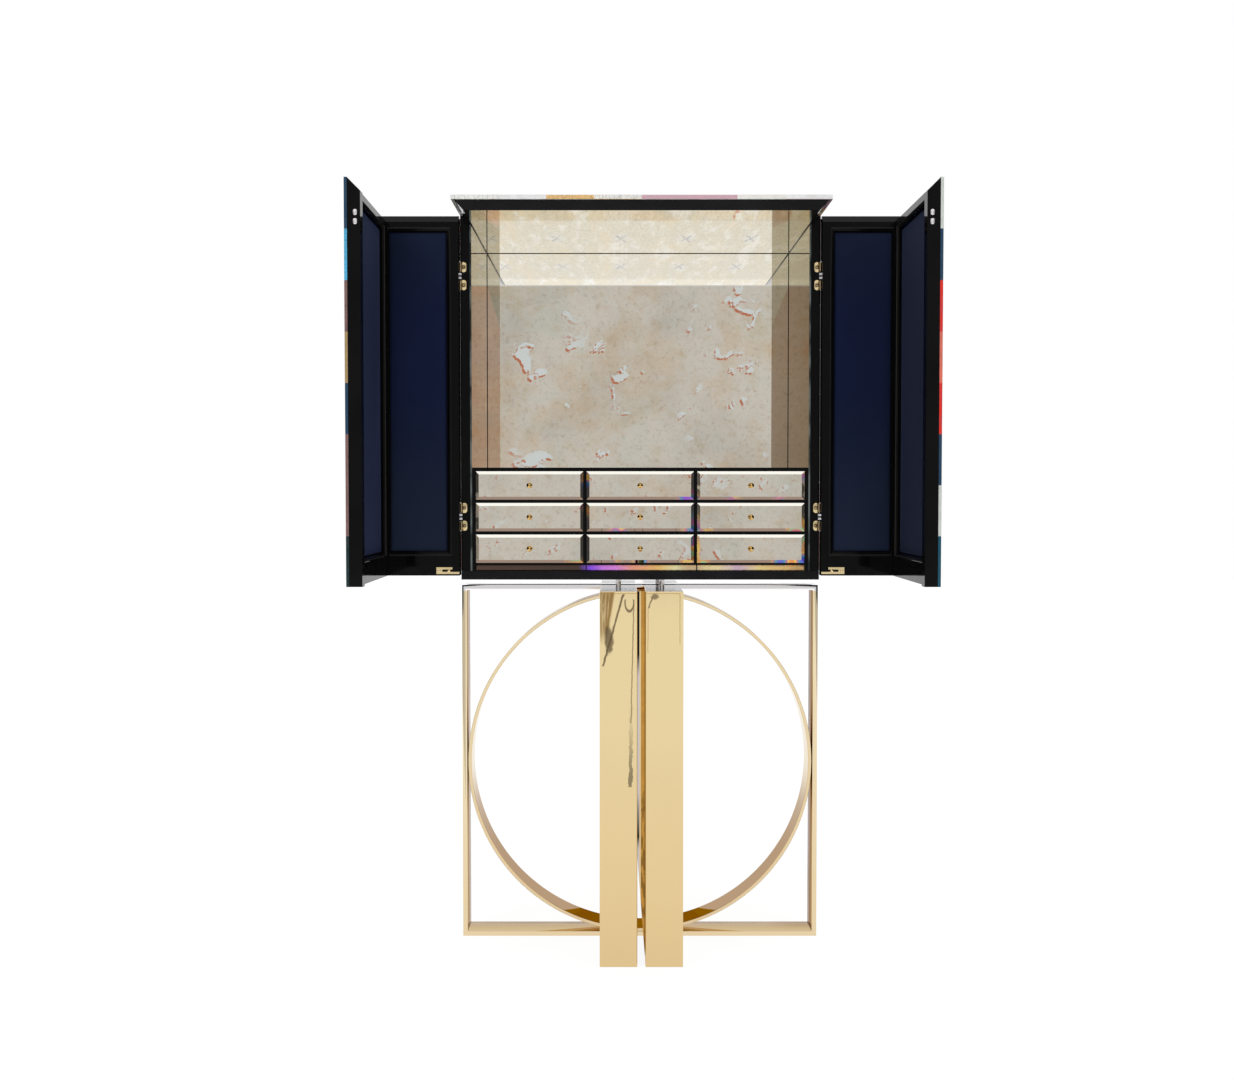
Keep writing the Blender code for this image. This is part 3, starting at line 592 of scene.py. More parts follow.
def painted_column_reflections(finish, colour):
    """Painted reflections on the columns' fronts: brown clouds, a torn line with a loop, and a long
    streak.
    """
    cloud = finish.noise(10, 4, 0.6, 1.2, stretch=(9, 1, 0.9)).rise(0.32, 0.52, 0.45, 1.0)
    cloud = cloud * finish.z.rise(0.735, 0.78) * (finish.x - finish.z * 0.16).fall(-0.202, -0.196)
    loop = abs(oval(finish, -0.0277, 0.8371, 0.0099, 0.0198) - 1.0).fall(0.12, 0.22)
    loop *= finish.z.fall(0.842, 0.846)
    brow = abs(finish.z - 0.8574).fall(0.0005, 0.0010) * abs(finish.x).fall(0.086, 0.089)
    streak = stroke(finish, -0.0237, 0.008, 0.4135, 0.60, 0.0052) * finish.z.rise(0.43, 0.60, 1.0, 0.1)
    # Each mark is a painted reflection, laid into the brass as a dark colour
    for mask, share, hue in (
        (cloud, 0.95, (0.29, 0.17, 0.055)), (loop, 0.8, DARK_BROWN), (brow, 0.7, RUSSET),
        (stroke(finish, -0.0415, 0.28, 0.690, 0.857, 0.0030), 0.85, DARK_BROWN),
        (reflected_blot(finish, -0.0741, 0.752, 0.0115, 0.036), 0.85, DARK_BROWN),
        (reflected_blot(finish, 0.0300, 0.850, 0.0110, 0.0085), 0.75, DARK_BROWN),
        (stroke(finish, 0.0250, 0.35, 0.822, 0.850, 0.0022), 0.75, DARK_BROWN),
        (stroke(finish, 0.0148, 0.005, 0.720, 0.825, 0.0014), 0.5, RUSSET),
        (stroke(finish, 0.0873, 0.0, 0.740, 0.857, 0.0010), 0.8, (0.46, 0.30, 0.12)),
        (stroke(finish, -0.0178, 0.022, 0.560, 0.835, 0.0018), 0.7, (0.20, 0.14, 0.06)),
        (streak, 0.85, (0.20, 0.16, 0.09)),
    ):
        colour = colour.mix(mask * finish.front() * share, hue)
    return colour


def column_brass(finish):
    """Brass columns: painted shade in brown between them, a painted highlight on top, with steel studs.
    """
    inner = abs(finish.x).fall(0.0096, 0.0099)
    # Painted shade: the faces between the columns are brown, with a brown grazing tint
    colour = painted_column_reflections(finish, polished_brass(finish, 1.0, inner)).mix(inner, (0.60, 0.38, 0.14))
    painted_top_highlight(finish, colour.mix(finish.z.rise(0.8622, 0.8626), STEEL))
    finish.set(Specular_Tint=finish.mix(inner, WHITE, (0.74, 0.48, 0.20)))


def web_brass(finish):
    """Brown-gold brass with painted shade and light: dark patches, a pale line, and a strip that runs
    from black to grey on its left.
    """
    polished_brass(finish)
    # Painted shade: dark patches, most of them low
    painted_shading = finish.noise(30, 3, 0.6, stretch=(4, 1, 1)).rise(0.44, 0.56)
    painted_shading *= finish.z.rise(0.34, 0.44, 0.8, 0.2)
    colour = finish.mix(painted_shading, (0.52, 0.27, 0.055), (0.20, 0.10, 0.02))
    grey, black = (0.58, 0.54, 0.54), (0.008, 0.008, 0.008)
    # Painted shade and light in the gap: the left strip runs from black to grey by height
    strip = finish.ramp(finish.z, [
        (0.255, grey), (0.285, black), (0.35, scaled(grey, 0.5)),
        (0.39, grey), (0.66, grey), (0.71, black),
    ])
    # Painted shade: the right edge is dark
    colour = colour.mix(finish.x.rise(0.0076, 0.0086, 0.0, 0.7), (0.20, 0.11, 0.03))
    colour = colour.mix(finish.x.fall(-0.0008, 0.0002), (0.74, 0.57, 0.32))
    finish.set(Base_Color=colour.mix(finish.x.fall(-0.0043, -0.0033), strip))


def frame_brass(finish):
    """The stand's frame: brass painted paler on its front faces and darker on its side faces and low
    upward faces, with a painted near-white highlight on its top bar.
    """
    colour = polished_brass(finish)
    sill = finish.facing("Z") * finish.z.fall(0.4, 0.5)
    flank = abs(finish.facing("X")).rise(0.8, 0.9) | sill.rise(0.8, 0.9, 0.0, 0.7)
    # Painted light on the front faces, painted shade on the side faces and the low upward faces
    colour = colour.mix(finish.front(0.45), (0.92, 0.82, 0.63)).mix(flank * 0.6, (0.50, 0.38, 0.26))
    painted_top_highlight(finish, colour, finish.z.rise(0.8465, 0.8485))
    # Painted shade: the side faces' grazing tint is darker on the right-hand bar
    glance = finish.mix(finish.x.rise(0.3, 0.4), (0.60, 0.50, 0.43), (0.44, 0.33, 0.26))
    finish.set(Specular_Tint=finish.mix(flank, WHITE, glance))


def ring_brass(finish):
    """The ring's brass, with painted shade: darker on its lower inside and brown beside the columns."""
    up, slant = finish.facing("Z"), abs(finish.x) + finish.y * 0.5
    # Painted shade: darker on the upward inner faces, more so low down, and brown beside the columns
    shaded_inside = up.rise(0.0, 0.3) * finish.z.rise(0.20, 0.44, 1.0, 0.5)
    deep = slant.fall(0.200, 0.206) * up.rise(0.5, 0.6)
    colour = polished_brass(finish).mix(0.35, (0.80, 0.68, 0.52)).mix(shaded_inside, (0.585, 0.435, 0.305))
    glance = finish.mix(shaded_inside, WHITE, (0.66, 0.55, 0.45)).mix(deep, (0.50, 0.36, 0.20))
    finish.set(Base_Color=colour.mix(deep, (0.34, 0.19, 0.05)), Specular_Tint=glance)


def knob_brass(finish):
    """Deep yellow brass with fine turned rings."""
    rings = finish.noise(900, 2, stretch=(0.2, 1, 0.2))
    finish.set(
        Base_Color=finish.ramp(rings, [(0.3, (0.74, 0.47, 0.15)), (0.7, (0.88, 0.62, 0.26))]),
        Metallic=1.0, Roughness=rings.rise(0.3, 0.8, 0.05, 0.10),
    )


def plated_nickel(finish):
    """Plated steel with fine rubbed marks."""
    rubbed = finish.noise(300, 3)
    finish.set(
        Base_Color=finish.ramp(rubbed, [(0.3, scaled(NICKEL, 0.75)), (0.7, NICKEL)]),
        Metallic=1.0, Roughness=rubbed.rise(0.3, 0.8, 0.12, 0.22),
    )


def stained_wood(finish):
    """Dark stained wood with long grain."""
    grain = finish.noise(14, 6, 0.7, 0.6, stretch=(1, 12, 12))
    finish.set(
        Base_Color=finish.ramp(grain, [(0.25, (0.016, 0.010, 0.008)), (0.75, (0.085, 0.050, 0.034))]),
        Roughness=grain.rise(0.2, 0.8, 0.55, 0.35), Normal=finish.bump(grain, 0.0004, 0.3),
    )


def navy_velvet(finish):
    """Short navy pile, brushed in broad slanting patches that also carry a painted sheen, with painted
    sheen low and high on the return pads and painted shade on the right-hand front pad.
    """
    navy = scaled(colours().velvet, 1.0)
    brushed_sheen = finish.noise(3.2, 2, 0.5, 0.5, turn=(0.6, 0.5, 0.3), stretch=(1, 1, 0.4))
    pile = finish.noise(1500, 2, 0.7)
    colour = finish.ramp(brushed_sheen, [(0.30, scaled(navy, 0.75)), (0.70, scaled(navy, 1.55))])
    colour = colour.mix(pile.rise(0.3, 0.8, 0.0, 0.35), scaled(navy, 0.3))
    # Painted sheen: paler bands low and high on the return pads
    painted_shading = finish.z.rise(1.02, 1.36, 0.8, 0.0) | finish.z.rise(1.50, 1.72, 0.0, 0.5)
    painted_shading = painted_shading * abs(finish.x).fall(0.596, 0.599) * brushed_sheen.rise(0.25, 0.60, 0.5, 1.0)
    colour = colour.mix(painted_shading, (0.019, 0.027, 0.052))
    # Painted shade: the right-hand front pad is darker
    finish.set(
        Base_Color=colour.mix(finish.x.rise(0.596, 0.599, 0.0, 0.8), scaled(navy, 0.2)),
        Roughness=0.95, Specular_IOR_Level=0.1, Sheen_Weight=0.10, Sheen_Roughness=0.4,
        Sheen_Tint=rgba((0.40, 0.50, 0.95)), Normal=finish.bump(pile, 0.0006, 0.35),
    )


# Mesh helpers


def middle(node):
    low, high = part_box(node)
    return (low + high) / 2


def mesh_from(name, bm):
    mesh = bpy.data.meshes.new(name)
    bm.to_mesh(mesh)
    bm.free()
    return mesh


def placed(name, data):
    """A new object in the scene."""
    made = bpy.data.objects.new(name, data)
    bpy.context.scene.collection.objects.link(made)
    return made


def finish_piece(name, bm, coats, body, smooth=None):
    """Turns a bmesh into a piece of the model; smooth is the widest smooth angle.

    The coats are materials, or the function that lays out the only one.
    """
    bmesh.ops.remove_doubles(bm, verts=bm.verts, dist=1e-6)
    bmesh.ops.recalc_face_normals(bm, faces=bm.faces)
    mesh = mesh_from(name, bm)
    for material in [coated(coats)] if callable(coats) else coats:
        mesh.materials.append(material)
    if smooth is not None:
        mesh.shade_smooth()
        mesh.set_sharp_from_angle(angle=math.radians(smooth))
    piece = placed(name, mesh)
    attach(piece, body)
    return piece


def from_axis(side, out, forward, z):
    """A point by its distances outwards and forwards of a door's hinge line."""
    return Vector((side * (HALF_CASE + out), FRONT_Y - forward, z))


def turned_to(place, first, second, third):
    """Takes a shape at the origin to a place, with its X, Y and Z along three directions."""
    return Matrix.Translation(place) @ Matrix((first, second, third)).transposed().to_4x4()


def on_face(place, normal):
    """Takes a shape that faces +Z at the origin to a place on an upright surface."""
    across = Z.cross(normal).normalized()
    return turned_to(place, across, normal.cross(across), normal)


def turned(bm, outline, steps, matrix):
    """Spins (radius, height) points into a closed solid about Z, then places it."""
    made = [bm.verts.new((radius, 0, height)) for radius, height in outline]
    edges = [bm.edges.new(pair) for pair in zip(made, made[1:])]
    before = set(bm.verts) - set(made)
    bmesh.ops.spin(
        bm, geom=made + edges, cent=(0, 0, 0), axis=(0, 0, 1), dvec=(0, 0, 0),
        angle=math.tau, steps=steps, use_merge=True, use_normal_flip=False, use_duplicate=False,
    )
    new = [vert for vert in bm.verts if vert not in before]
    bmesh.ops.remove_doubles(bm, verts=new, dist=1e-6)
    new = [vert for vert in bm.verts if vert not in before]
    bmesh.ops.transform(bm, matrix=matrix, verts=new)


def bevel(bm, edges, offset, segments=2):
    bmesh.ops.bevel(
        bm, geom=edges, offset=offset, offset_type="OFFSET", segments=segments,
        profile=0.5, affect="EDGES", material=-1,
    )


def extrude(bm, faces):
    """Extrudes faces and gives the new vertices and faces."""
    made = bmesh.ops.extrude_face_region(bm, geom=faces)["geom"]
    return [[item for item in made if isinstance(item, kind)] for kind in (BMVert, BMFace)]


def cut(bm, point, normal):
    """Cuts every face along a plane."""
    geom = bm.verts[:] + bm.edges[:] + bm.faces[:]
    bmesh.ops.bisect_plane(bm, geom=geom, plane_co=point, plane_no=normal)


def grid(bm, middle, first, second, outward, cells=(1, 1)):
    """A flat grid of cells round a middle, spread along two spans."""
    bmesh.ops.create_grid(bm, x_segments=cells[0], y_segments=cells[1], size=0.5)
    bmesh.ops.transform(bm, matrix=turned_to(middle, first, second, outward), verts=bm.verts)


def block(bm, low, high, edge=0.0):
    """A box from corner to corner with its edges rounded."""
    low, high = Vector(low), Vector(high)
    size = Matrix.Diagonal((*map(abs, high - low), 1.0))
    made = bmesh.ops.create_cube(bm, size=1.0, matrix=Matrix.Translation((low + high) / 2) @ size)
    if edge:
        bevel(bm, list({edge for vert in made["verts"] for edge in vert.link_edges}), edge)


def join(bm, part):
    """Moves what one bmesh holds into another."""
    mesh = mesh_from("part", part)
    bm.from_mesh(mesh)
    bpy.data.meshes.remove(mesh)


def plate(bm, low, high, facing, radius, rim=0.0003):
    """A flat plate with round corners and softened faces; facing is its thin axis."""
    part = bmesh.new()
    block(part, low, high)
    corners = [
        edge for edge in part.edges
        if abs(edge.verts[0].co[facing] - edge.verts[1].co[facing]) > 1e-5
    ]
    bevel(part, corners, radius, 6)
    bevel(part, [edge for edge in part.edges if edge.calc_face_angle(0.0) > 1.2], rim)
    join(bm, part)


def screw(bm, place, normal, radius, turn):
    """A slotted countersunk head that stands a hair proud."""
    rise = radius * 0.16
    part = bmesh.new()
    outline = [
        (0, rise), (radius * 0.45, rise * 0.95), (radius * 0.8, rise * 0.72),
        (radius, rise * 0.2), (radius, -rise), (0, -rise),
    ]
    turned(part, outline, 20, Matrix.Identity(4))
    for offset in (-0.17, 0.17):
        cut(part, (0, offset * radius, 0), (0, 1, 0))
    slit = []
    for face in part.faces:
        centre = face.calc_center_median()
        if centre.z > 0 and abs(centre.y) < 0.16 * radius and abs(centre.x) < 0.8 * radius:
            slit.append(face)
    verts, _ = extrude(part, slit)
    bmesh.ops.translate(part, vec=(0, 0, -rise * 1.3), verts=verts)
    matrix = on_face(place, normal) @ Matrix.Rotation(turn, 4, "Z")
    bmesh.ops.transform(part, matrix=matrix, verts=part.verts)
    join(bm, part)


def sweep(bm, section, stations, normal):
    """Carries a (width, height) section through mitred stations of (corner, inward)."""
    width, height = (bm.verts.layers.float.new(name) for name in ("width", "height"))
    corner, inward = stations[0]
    verts = []
    for across, up in section:
        vert = bm.verts.new(corner + inward * across + normal * up)
        vert[width], vert[height] = across, up
        verts.append(vert)
    face = bm.faces.new(verts)
    for corner, inward in stations[1:]:
        face = extrude(bm, [face])[1][0]
        for vert in face.verts:
            vert.co = corner + inward * vert[width] + normal * vert[height]


# Operators


def tile_fields():
    """Each tiled face: name, body, corner, two spans, outward, cells, palette and skin.

    The skin is the panel whose edge shows the tiles, and the plane where it starts.
    """
    span = TOP_HIGH - TOP_LOW
    corner = Vector((TOP_LOW.x, TOP_LOW.y, TOP_HIGH.z))
    # The top board's skin takes the lacquer painted paler, as painted light on its rail
    skin = ("top_board", "Z", TOP_HIGH.z - TOP_SKIN, RAIL_PAINTED_LIGHT)
    yield "tiles_top", "cabinet", corner, X * span.x, Y * span.y, Z, (8, 6), PALE_TILES, skin
    tall, deep = Z * (PANEL_HIGH.z - PANEL_LOW.z), Y * (PANEL_HIGH.y - PANEL_LOW.y)
    for hand, side in SIDES.items():
        out, door = X * side, f"door_{hand}"
        corner = Vector((side * PANEL_HIGH.x, PANEL_LOW.y, PANEL_LOW.z))
        skin = (f"front_panel_{hand}", "X", side * (PANEL_HIGH.x - SKIN_THICK), 1.0)
        yield f"tiles_front_{hand}", door, corner, deep, tall, out, (4, 8), DEEP_TILES, skin
        corner = Vector((side * RETURN_LOW.x, RETURN_HIGH.y, RETURN_LOW.z))
        wide = out * (PANEL_HIGH.x - RETURN_LOW.x)
        yield f"tiles_return_{hand}", door, corner, wide, tall, Y, (2, 8), DEEP_TILES, None
        corner = Vector((side * HALF_CASE, FRONT_Y, SIDE_LOW.z))
        spans = Y * (SIDE_HIGH.y - FRONT_Y), Z * (TOP_HIGH.z - 0.009 - SIDE_LOW.z)
        yield f"tiles_side_{hand}", "cabinet", corner, *spans, out, (4, 8), DEEP_TILES, None


def tile_grid(corner, first, second, outward, cells):
    """The colour grid of a face: its origin and cell, deep along the outward axis."""
    origin, cell = [-0.5 * abs(part) for part in outward], [1.0, 1.0, 1.0]
    for span, count in ((first, cells[0]), (second, cells[1])):
        index = max(range(3), key=lambda axis: abs(span[axis]))
        origin[index] = min(corner[index], corner[index] + span[index])
        cell[index] = abs(span[index]) / count
    return tuple(origin), tuple(cell)


class CABINET_OT_case(Operator):
    """Gives the boards, mirrors, drawers and fittings of the case their finishes"""

    bl_idname = "cabinet.finish_case"
    bl_label = "Finish Case"

    def execute(self, context):
        back, side = colours().back_mirror, colours().side_mirror
        glass = (mirror, back, (0.97, 0.96, 0.93), BACK_BAND)
        paint("back_mirror", *glass, name="back_mirror_glass")
        # The bottom board's lacquer is painted paler, as painted light on the rail
        paint("bottom_board", black_lacquer, RAIL_PAINTED_LIGHT, name="rail_lacquer")
        paint("ceiling_slab", polished_ceiling)
        paint("plinth_strip", plinth_mirror_glass)
        for node in ("back_board", "drawer_case"):
            paint(node, black_lacquer)
        for drawer in DRAWERS:
            paint(f"{drawer}_front", bevelled_mirror_glass)
            paint(f"{drawer}_box", stained_wood)
            paint(f"{drawer}_knob", polished_brass)
        for hand, edges in SIDE_EDGES.items():
            for node in (f"side_board_{hand}", f"return_panel_{hand}"):
                paint(node, black_lacquer)
            glass = (mirror, side, (0.60, 0.58, 0.46), SIDE_BAND, edges)
            paint(f"side_mirror_{hand}", *glass, name=f"side_mirror_glass_{hand}")
            paint(f"column_{hand}", column_brass)
            paint(f"door_stay_{hand}", polished_brass)
            for level in LEVELS:
                paint(f"hinge_fixed_{level}_{hand}", hinge_leaf)
                paint(f"hinge_moving_{level}_{hand}", hinge_knuckle)
        return {"FINISHED"}


def inset(bm, faces, thickness, depth):
    bmesh.ops.inset_individual(
        bm, faces=faces, thickness=thickness, depth=depth, use_even_offset=True
    )


class CABINET_OT_tiles(Operator):
    """Lays lacquered tiles on the outer faces, and colours the skins' edges to match"""

    bl_idname = "cabinet.lay_tiles"
    bl_label = "Lay Tiles"

    def execute(self, context):
        chance = random.Random(7)
        for name, body, corner, first, second, outward, cells, palette, skin in tile_fields():
            pattern = (*tile_grid(corner, first, second, outward, cells), palette)
            coats = [coated(black_lacquer), coated(tile_lacquer, *pattern, name=f"{name}_lacquer")]
            bm = bmesh.new()
            grid(bm, corner + (first + second) / 2, first, second, outward, cells)
            lifted, tiles = extrude(bm, bm.faces[:])
            base = sizes().tile_rise * 0.25
            bmesh.ops.translate(bm, vec=outward * base, verts=lifted)
            bmesh.ops.recalc_face_normals(bm, faces=bm.faces)
            inset(bm, tiles, sizes().tile_joint / 2, 0.0)
            for tile in tiles:
                tile.material_index = 1
            inset(bm, tiles, sizes().tile_bevel, sizes().tile_rise - base)
            lined = [tile for tile in tiles if chance.random() < 0.3]
            inset(bm, lined, 0.014, 0.0)
            inset(bm, lined, 0.0015, 0.0005)
            finish_piece(name, bm, coats, body)
            if skin:
                node, *plane = skin
                paint(node, skinned_lacquer, *plane, *pattern, name=f"{node}_lacquer")
        return {"FINISHED"}


class CABINET_OT_mouldings(Operator):
    """Sets a mitred moulding round each pad, in the step of its panel"""

    bl_idname = "cabinet.set_mouldings"
    bl_label = "Set Mouldings"

    def execute(self, context):
        section = [
            (0.0003, 0.0), (0.0003, 0.0044), (0.0010, 0.0050), (0.0022, 0.0050), (0.0031, 0.0043),
            (0.0036, 0.0031), (0.0048, 0.0024), (0.0066, 0.0023), (0.0078, 0.0018),
            (0.0086, 0.0004), (0.0086, 0.0),
        ]
        edge = MOULDING_GAP + MOULDING_STEP
        for hand, side in SIDES.items():
            for panel in ("return", "front"):
                low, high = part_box(f"{panel}_pad_{hand}")
                bottom, top = low.z - edge, high.z + edge
                if panel == "return":
                    near, far = sorted((abs(low.x), abs(high.x)))
                    near, far = side * (near - edge), side * (far + MOULDING_GAP)
                    base = Y * (FRONT_Y - DOOR_THICK + MOULDING_DEPTH)
                    along, travel, normal = X, X * side, -Y
                else:
                    near, far = high.y + edge, low.y - MOULDING_GAP
                    base = X * side * (HALF_CASE + DOOR_DEPTH - DOOR_THICK + MOULDING_DEPTH)
                    along, travel, normal = Y, -Y, -X * side
                ends = ((far, bottom), (near, bottom), (near, top), (far, top))
                corners = [base + along * place + Z * z for place, z in ends]
                bm = bmesh.new()
                sweep(bm, section, list(zip(corners, (Z, Z + travel, travel - Z, -Z))), normal)
                name = f"{panel}_moulding_{hand}"
                finish_piece(name, bm, moulding_lacquer, f"door_{hand}", 35)
        return {"FINISHED"}


def swell_pad(panel):
    """The right-hand pad, blown up a little by cloth whose back is held."""
    low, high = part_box(f"{panel}_pad_right")
    low, high = low + Vector((PAD_GAP,) * 3), high - Vector((PAD_GAP,) * 3)
    facing = 1 if panel == "return" else 0
    across = 1 - facing
    bm = bmesh.new()
    block(bm, low, high)
    for axis in (across, 2):
        count = max(2, round((high[axis] - low[axis]) / PAD_MESH))
        for index in range(1, count):
            point, plane = Vector(low), Vector((0, 0, 0))
            point[axis] += (high[axis] - low[axis]) * index / count
            plane[axis] = 1
            cut(bm, point, plane)
    mesh = mesh_from(f"{panel}_cloth", bm)
    start = [vert.co.copy() for vert in mesh.vertices]
    back = [index for index, co in enumerate(start) if abs(co[facing] - high[facing]) < 1e-5]
    crown = sizes().pad_crown
    for vert, before, after in zip(mesh.vertices, start, blown(mesh, back)):
        shift = after - before
        moved = before.copy()
        moved[facing] -= max(0.0, crown * (1 - math.exp(-max(0.0, -shift[facing]) / crown)))
        for axis in (across, 2):
            moved[axis] = min(high[axis], max(low[axis], before[axis] + shift[axis] * 0.4))
        vert.co = moved
    return mesh


def blown(mesh, back):
    """Where a mesh's points are once it has swollen as cloth under pressure."""
    cloth = placed(mesh.name, mesh)
    cloth.vertex_groups.new(name="held").add(back, 1.0, "ADD")
    pressed = cloth.modifiers.new("cloth", "CLOTH")
    pressed.settings.vertex_group_mass = "held"
    pressed.settings.use_pressure = True
    pressed.settings.uniform_pressure_force = 4.0
    pressed.settings.effector_weights.gravity = 0.0
    pressed.point_cache.frame_start, pressed.point_cache.frame_end = 1, CLOTH_STEPS
    scene = bpy.context.scene
    for number in range(1, CLOTH_STEPS + 1):
        scene.frame_set(number)
    seen = cloth.evaluated_get(bpy.context.evaluated_depsgraph_get())
    reached = [vert.co.copy() for vert in seen.data.vertices]
    scene.frame_set(1)
    bpy.data.objects.remove(cloth)
    return reached


class CABINET_OT_pads(Operator):
    """Upholsters the four fields of the doors with velvet pads"""

    bl_idname = "cabinet.upholster"
    bl_label = "Upholster Doors"

    def execute(self, context):
        for panel in ("return", "front"):
            swollen = swell_pad(panel)
            for hand, side in SIDES.items():
                bm = bmesh.new()
                bm.from_mesh(swollen)
                if side < 0:
                    bmesh.ops.scale(bm, vec=(-1, 1, 1), verts=bm.verts)
                name = f"{panel}_cushion_{hand}"
                piece = finish_piece(name, bm, navy_velvet, f"door_{hand}", 180)
                rounded = piece.modifiers.new("rounded", "SUBSURF")
                rounded.levels = rounded.render_levels = 1
                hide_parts(f"{panel}_pad_{hand}")
            bpy.data.meshes.remove(swollen)
        return {"FINISHED"}


class CABINET_OT_knobs(Operator):
    """Turns the nine drawer knobs"""

    bl_idname = "cabinet.turn_knobs"
    bl_label = "Turn Knobs"

    def execute(self, context):
        outline = [
            (0, 0.0152), (0.0006, 0.0150), (0.0012, 0.0145), (0.0030, 0.0131), (0.0050, 0.0114),
            (0.0061, 0.0103), (0.0066, 0.0094), (0.0065, 0.0084), (0.0055, 0.0077),
            (0.0040, 0.0071), (0.0030, 0.0061), (0.0026, 0.0047), (0.0027, 0.0031),
            (0.0031, 0.0018), (0.0039, 0.0013), (0.0042, 0.0007), (0.0042, 0.0), (0, 0.0),
        ]
        for drawer in DRAWERS:
            centre = middle(f"{drawer}_knob")
            place = Vector((centre.x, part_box(f"{drawer}_knob")[1].y, centre.z))
            bm = bmesh.new()
            turned(bm, outline, 40, on_face(place, -Y))
            knob = finish_piece(f"{drawer}_turned_knob", bm, knob_brass, drawer, 40)
            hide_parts(f"{drawer}_knob")
        return {"FINISHED"}


def add_catches(hand, side):
    """Two catches let into the meeting end of the door."""
    bm = bmesh.new()
    x, face = side * (HALF_CASE + DOOR_DEPTH - 0.023), PANEL_LOW.y
    ball = [(0, 0.0007), (0.0010, 0.0006), (0.0018, 0.0004), (0.0022, 0.0001), (0.0022, 0), (0, 0)]
    for z in CATCH_HEIGHTS:
        low, high = (x - 0.0042, face - 0.0006, z - 0.0062), (x + 0.0042, face + 0.0002, z + 0.0062)
        plate(bm, low, high, 1, 0.0038)
        turned(bm, ball, 20, on_face(Vector((x, face - 0.0005, z)), -Y))
    finish_piece(f"catch_{hand}", bm, plated_nickel, f"door_{hand}", 40)


def add_stay_pin(hand, side, chance):
    """The screws of the slotted plate and the pin that runs in it."""
    low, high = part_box(f"door_stay_{hand}")
    bm = bmesh.new()
    outer, face, z = side * max(abs(low.x), abs(high.x)), low.y + 0.001, high.z - 0.008
    for offset in (0.0042, 0.0105):
        place = Vector((outer - side * offset, face, z))
        screw(bm, place, -Y, 0.0021, chance.random() * 3)
    pin = [
        (0, 0.0030), (0.0020, 0.0028), (0.0033, 0.0020), (0.0036, 0.0012), (0.0036, 0.0),
        (0.0022, 0.0), (0.0022, -0.003), (0, -0.003),
    ]
    turned(bm, pin, 24, on_face(Vector((outer - side * 0.030, face, z)), -Y))
    metal = [coated(polished_brass, 1.05, name="fitting_brass")]
    finish_piece(f"stay_pin_{hand}", bm, metal, f"door_{hand}", 40)


class CABINET_OT_fittings(Operator):
    """Adds the lugs and screws of the hinges, the catches and the stays' pins"""

    bl_idname = "cabinet.add_fittings"
    bl_label = "Add Fittings"

    def execute(self, context):
        chance = random.Random(3)
        radius = sizes().screw_radius
        for hand, side in SIDES.items():
            fixed, moving = bmesh.new(), bmesh.new()
            for level in LEVELS:
                for offset in (-LUG_RISE, LUG_RISE):
                    z = middle(f"hinge_fixed_{level}_{hand}").z + offset
                    low, high = z - LUG_HALF, z + LUG_HALF
                    plate(
                        fixed, (side * (HALF_CASE - 0.0145), FRONT_Y - LUG_THICK, low),
                        (side * (HALF_CASE - 0.0007), FRONT_Y + 0.0002, high), 1, 0.0062,
                    )
                    place = Vector((side * (HALF_CASE - LUG_INSET), FRONT_Y - LUG_THICK / 2, z))
                    screw(fixed, place, -Y, radius * 1.5, chance.random() * 3)
                    plate(
                        moving, from_axis(side, 0.0018, 0.0145, low),
                        from_axis(side, 0.0026, 0.0025, high), 0, 0.0055,
                    )
                    place = from_axis(side, 0.0022, 0.0085, z)
                    screw(moving, place, -X * side, radius * 1.2, chance.random() * 3)
            finish_piece(f"hinge_lugs_{hand}", fixed, hinge_lug, "cabinet", 40)
            finish_piece(f"door_lugs_{hand}", moving, black_lacquer, f"door_{hand}", 40)
            add_catches(hand, side)
            add_stay_pin(hand, side, chance)
        return {"FINISHED"}


def add_seal(hand, side):
    """Strips between the hinges, and a shallow one under the top board."""
    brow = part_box("ceiling_slab")[0].z - SEAL_GAP
    stops = [RETURN_LOW.z + SEAL_GAP]
    for level in ("lower", "upper"):
        low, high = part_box(f"hinge_fixed_{level}_{hand}")
        stops += [low.z - SEAL_GAP, high.z + SEAL_GAP]
    stops += [brow, brow, RETURN_HIGH.z - 0.006]
    bm = bmesh.new()
    for bottom, top in zip(stops[::2], stops[1::2]):
        depth = 0.004 if bottom == brow else 0.020
        low, high = from_axis(side, 0.0001, depth, bottom), from_axis(side, 0.0021, 0.002, top)
        block(bm, low, high, 0.0002)
    finish_piece(f"door_seal_{hand}", bm, seal_rubber, f"door_{hand}", 40)


def add_beads():
    """Thin beads where the mirrors meet each other and the ceiling."""
    back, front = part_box("back_mirror")[0].y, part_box("side_mirror_right")[0].y + 0.001
    half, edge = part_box("side_mirror_right")[0].x, BEAD / 3
    bottom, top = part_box("drawer_case")[1].z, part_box("ceiling_slab")[0].z
    bm = bmesh.new()
    block(bm, (-half, back - BEAD, top - BEAD), (half, back, top), edge)
    for side in SIDES.values():
        inner, outer = side * (half - BEAD), side * half
        block(bm, (inner, back - BEAD, bottom), (outer, back, top - BEAD), edge)
        block(bm, (inner, front, top - BEAD), (outer, back - BEAD, top), edge)
    finish_piece("mirror_beads", bm, black_lacquer, "cabinet", 40)


class CABINET_OT_trim(Operator):
    """Closes the doors' hinge gaps with seals and the mirrors' corners with beads"""

    bl_idname = "cabinet.fit_trim"
    bl_label = "Fit Trim"

    def execute(self, context):
        for hand, side in SIDES.items():
            add_seal(hand, side)
        add_beads()
        return {"FINISHED"}


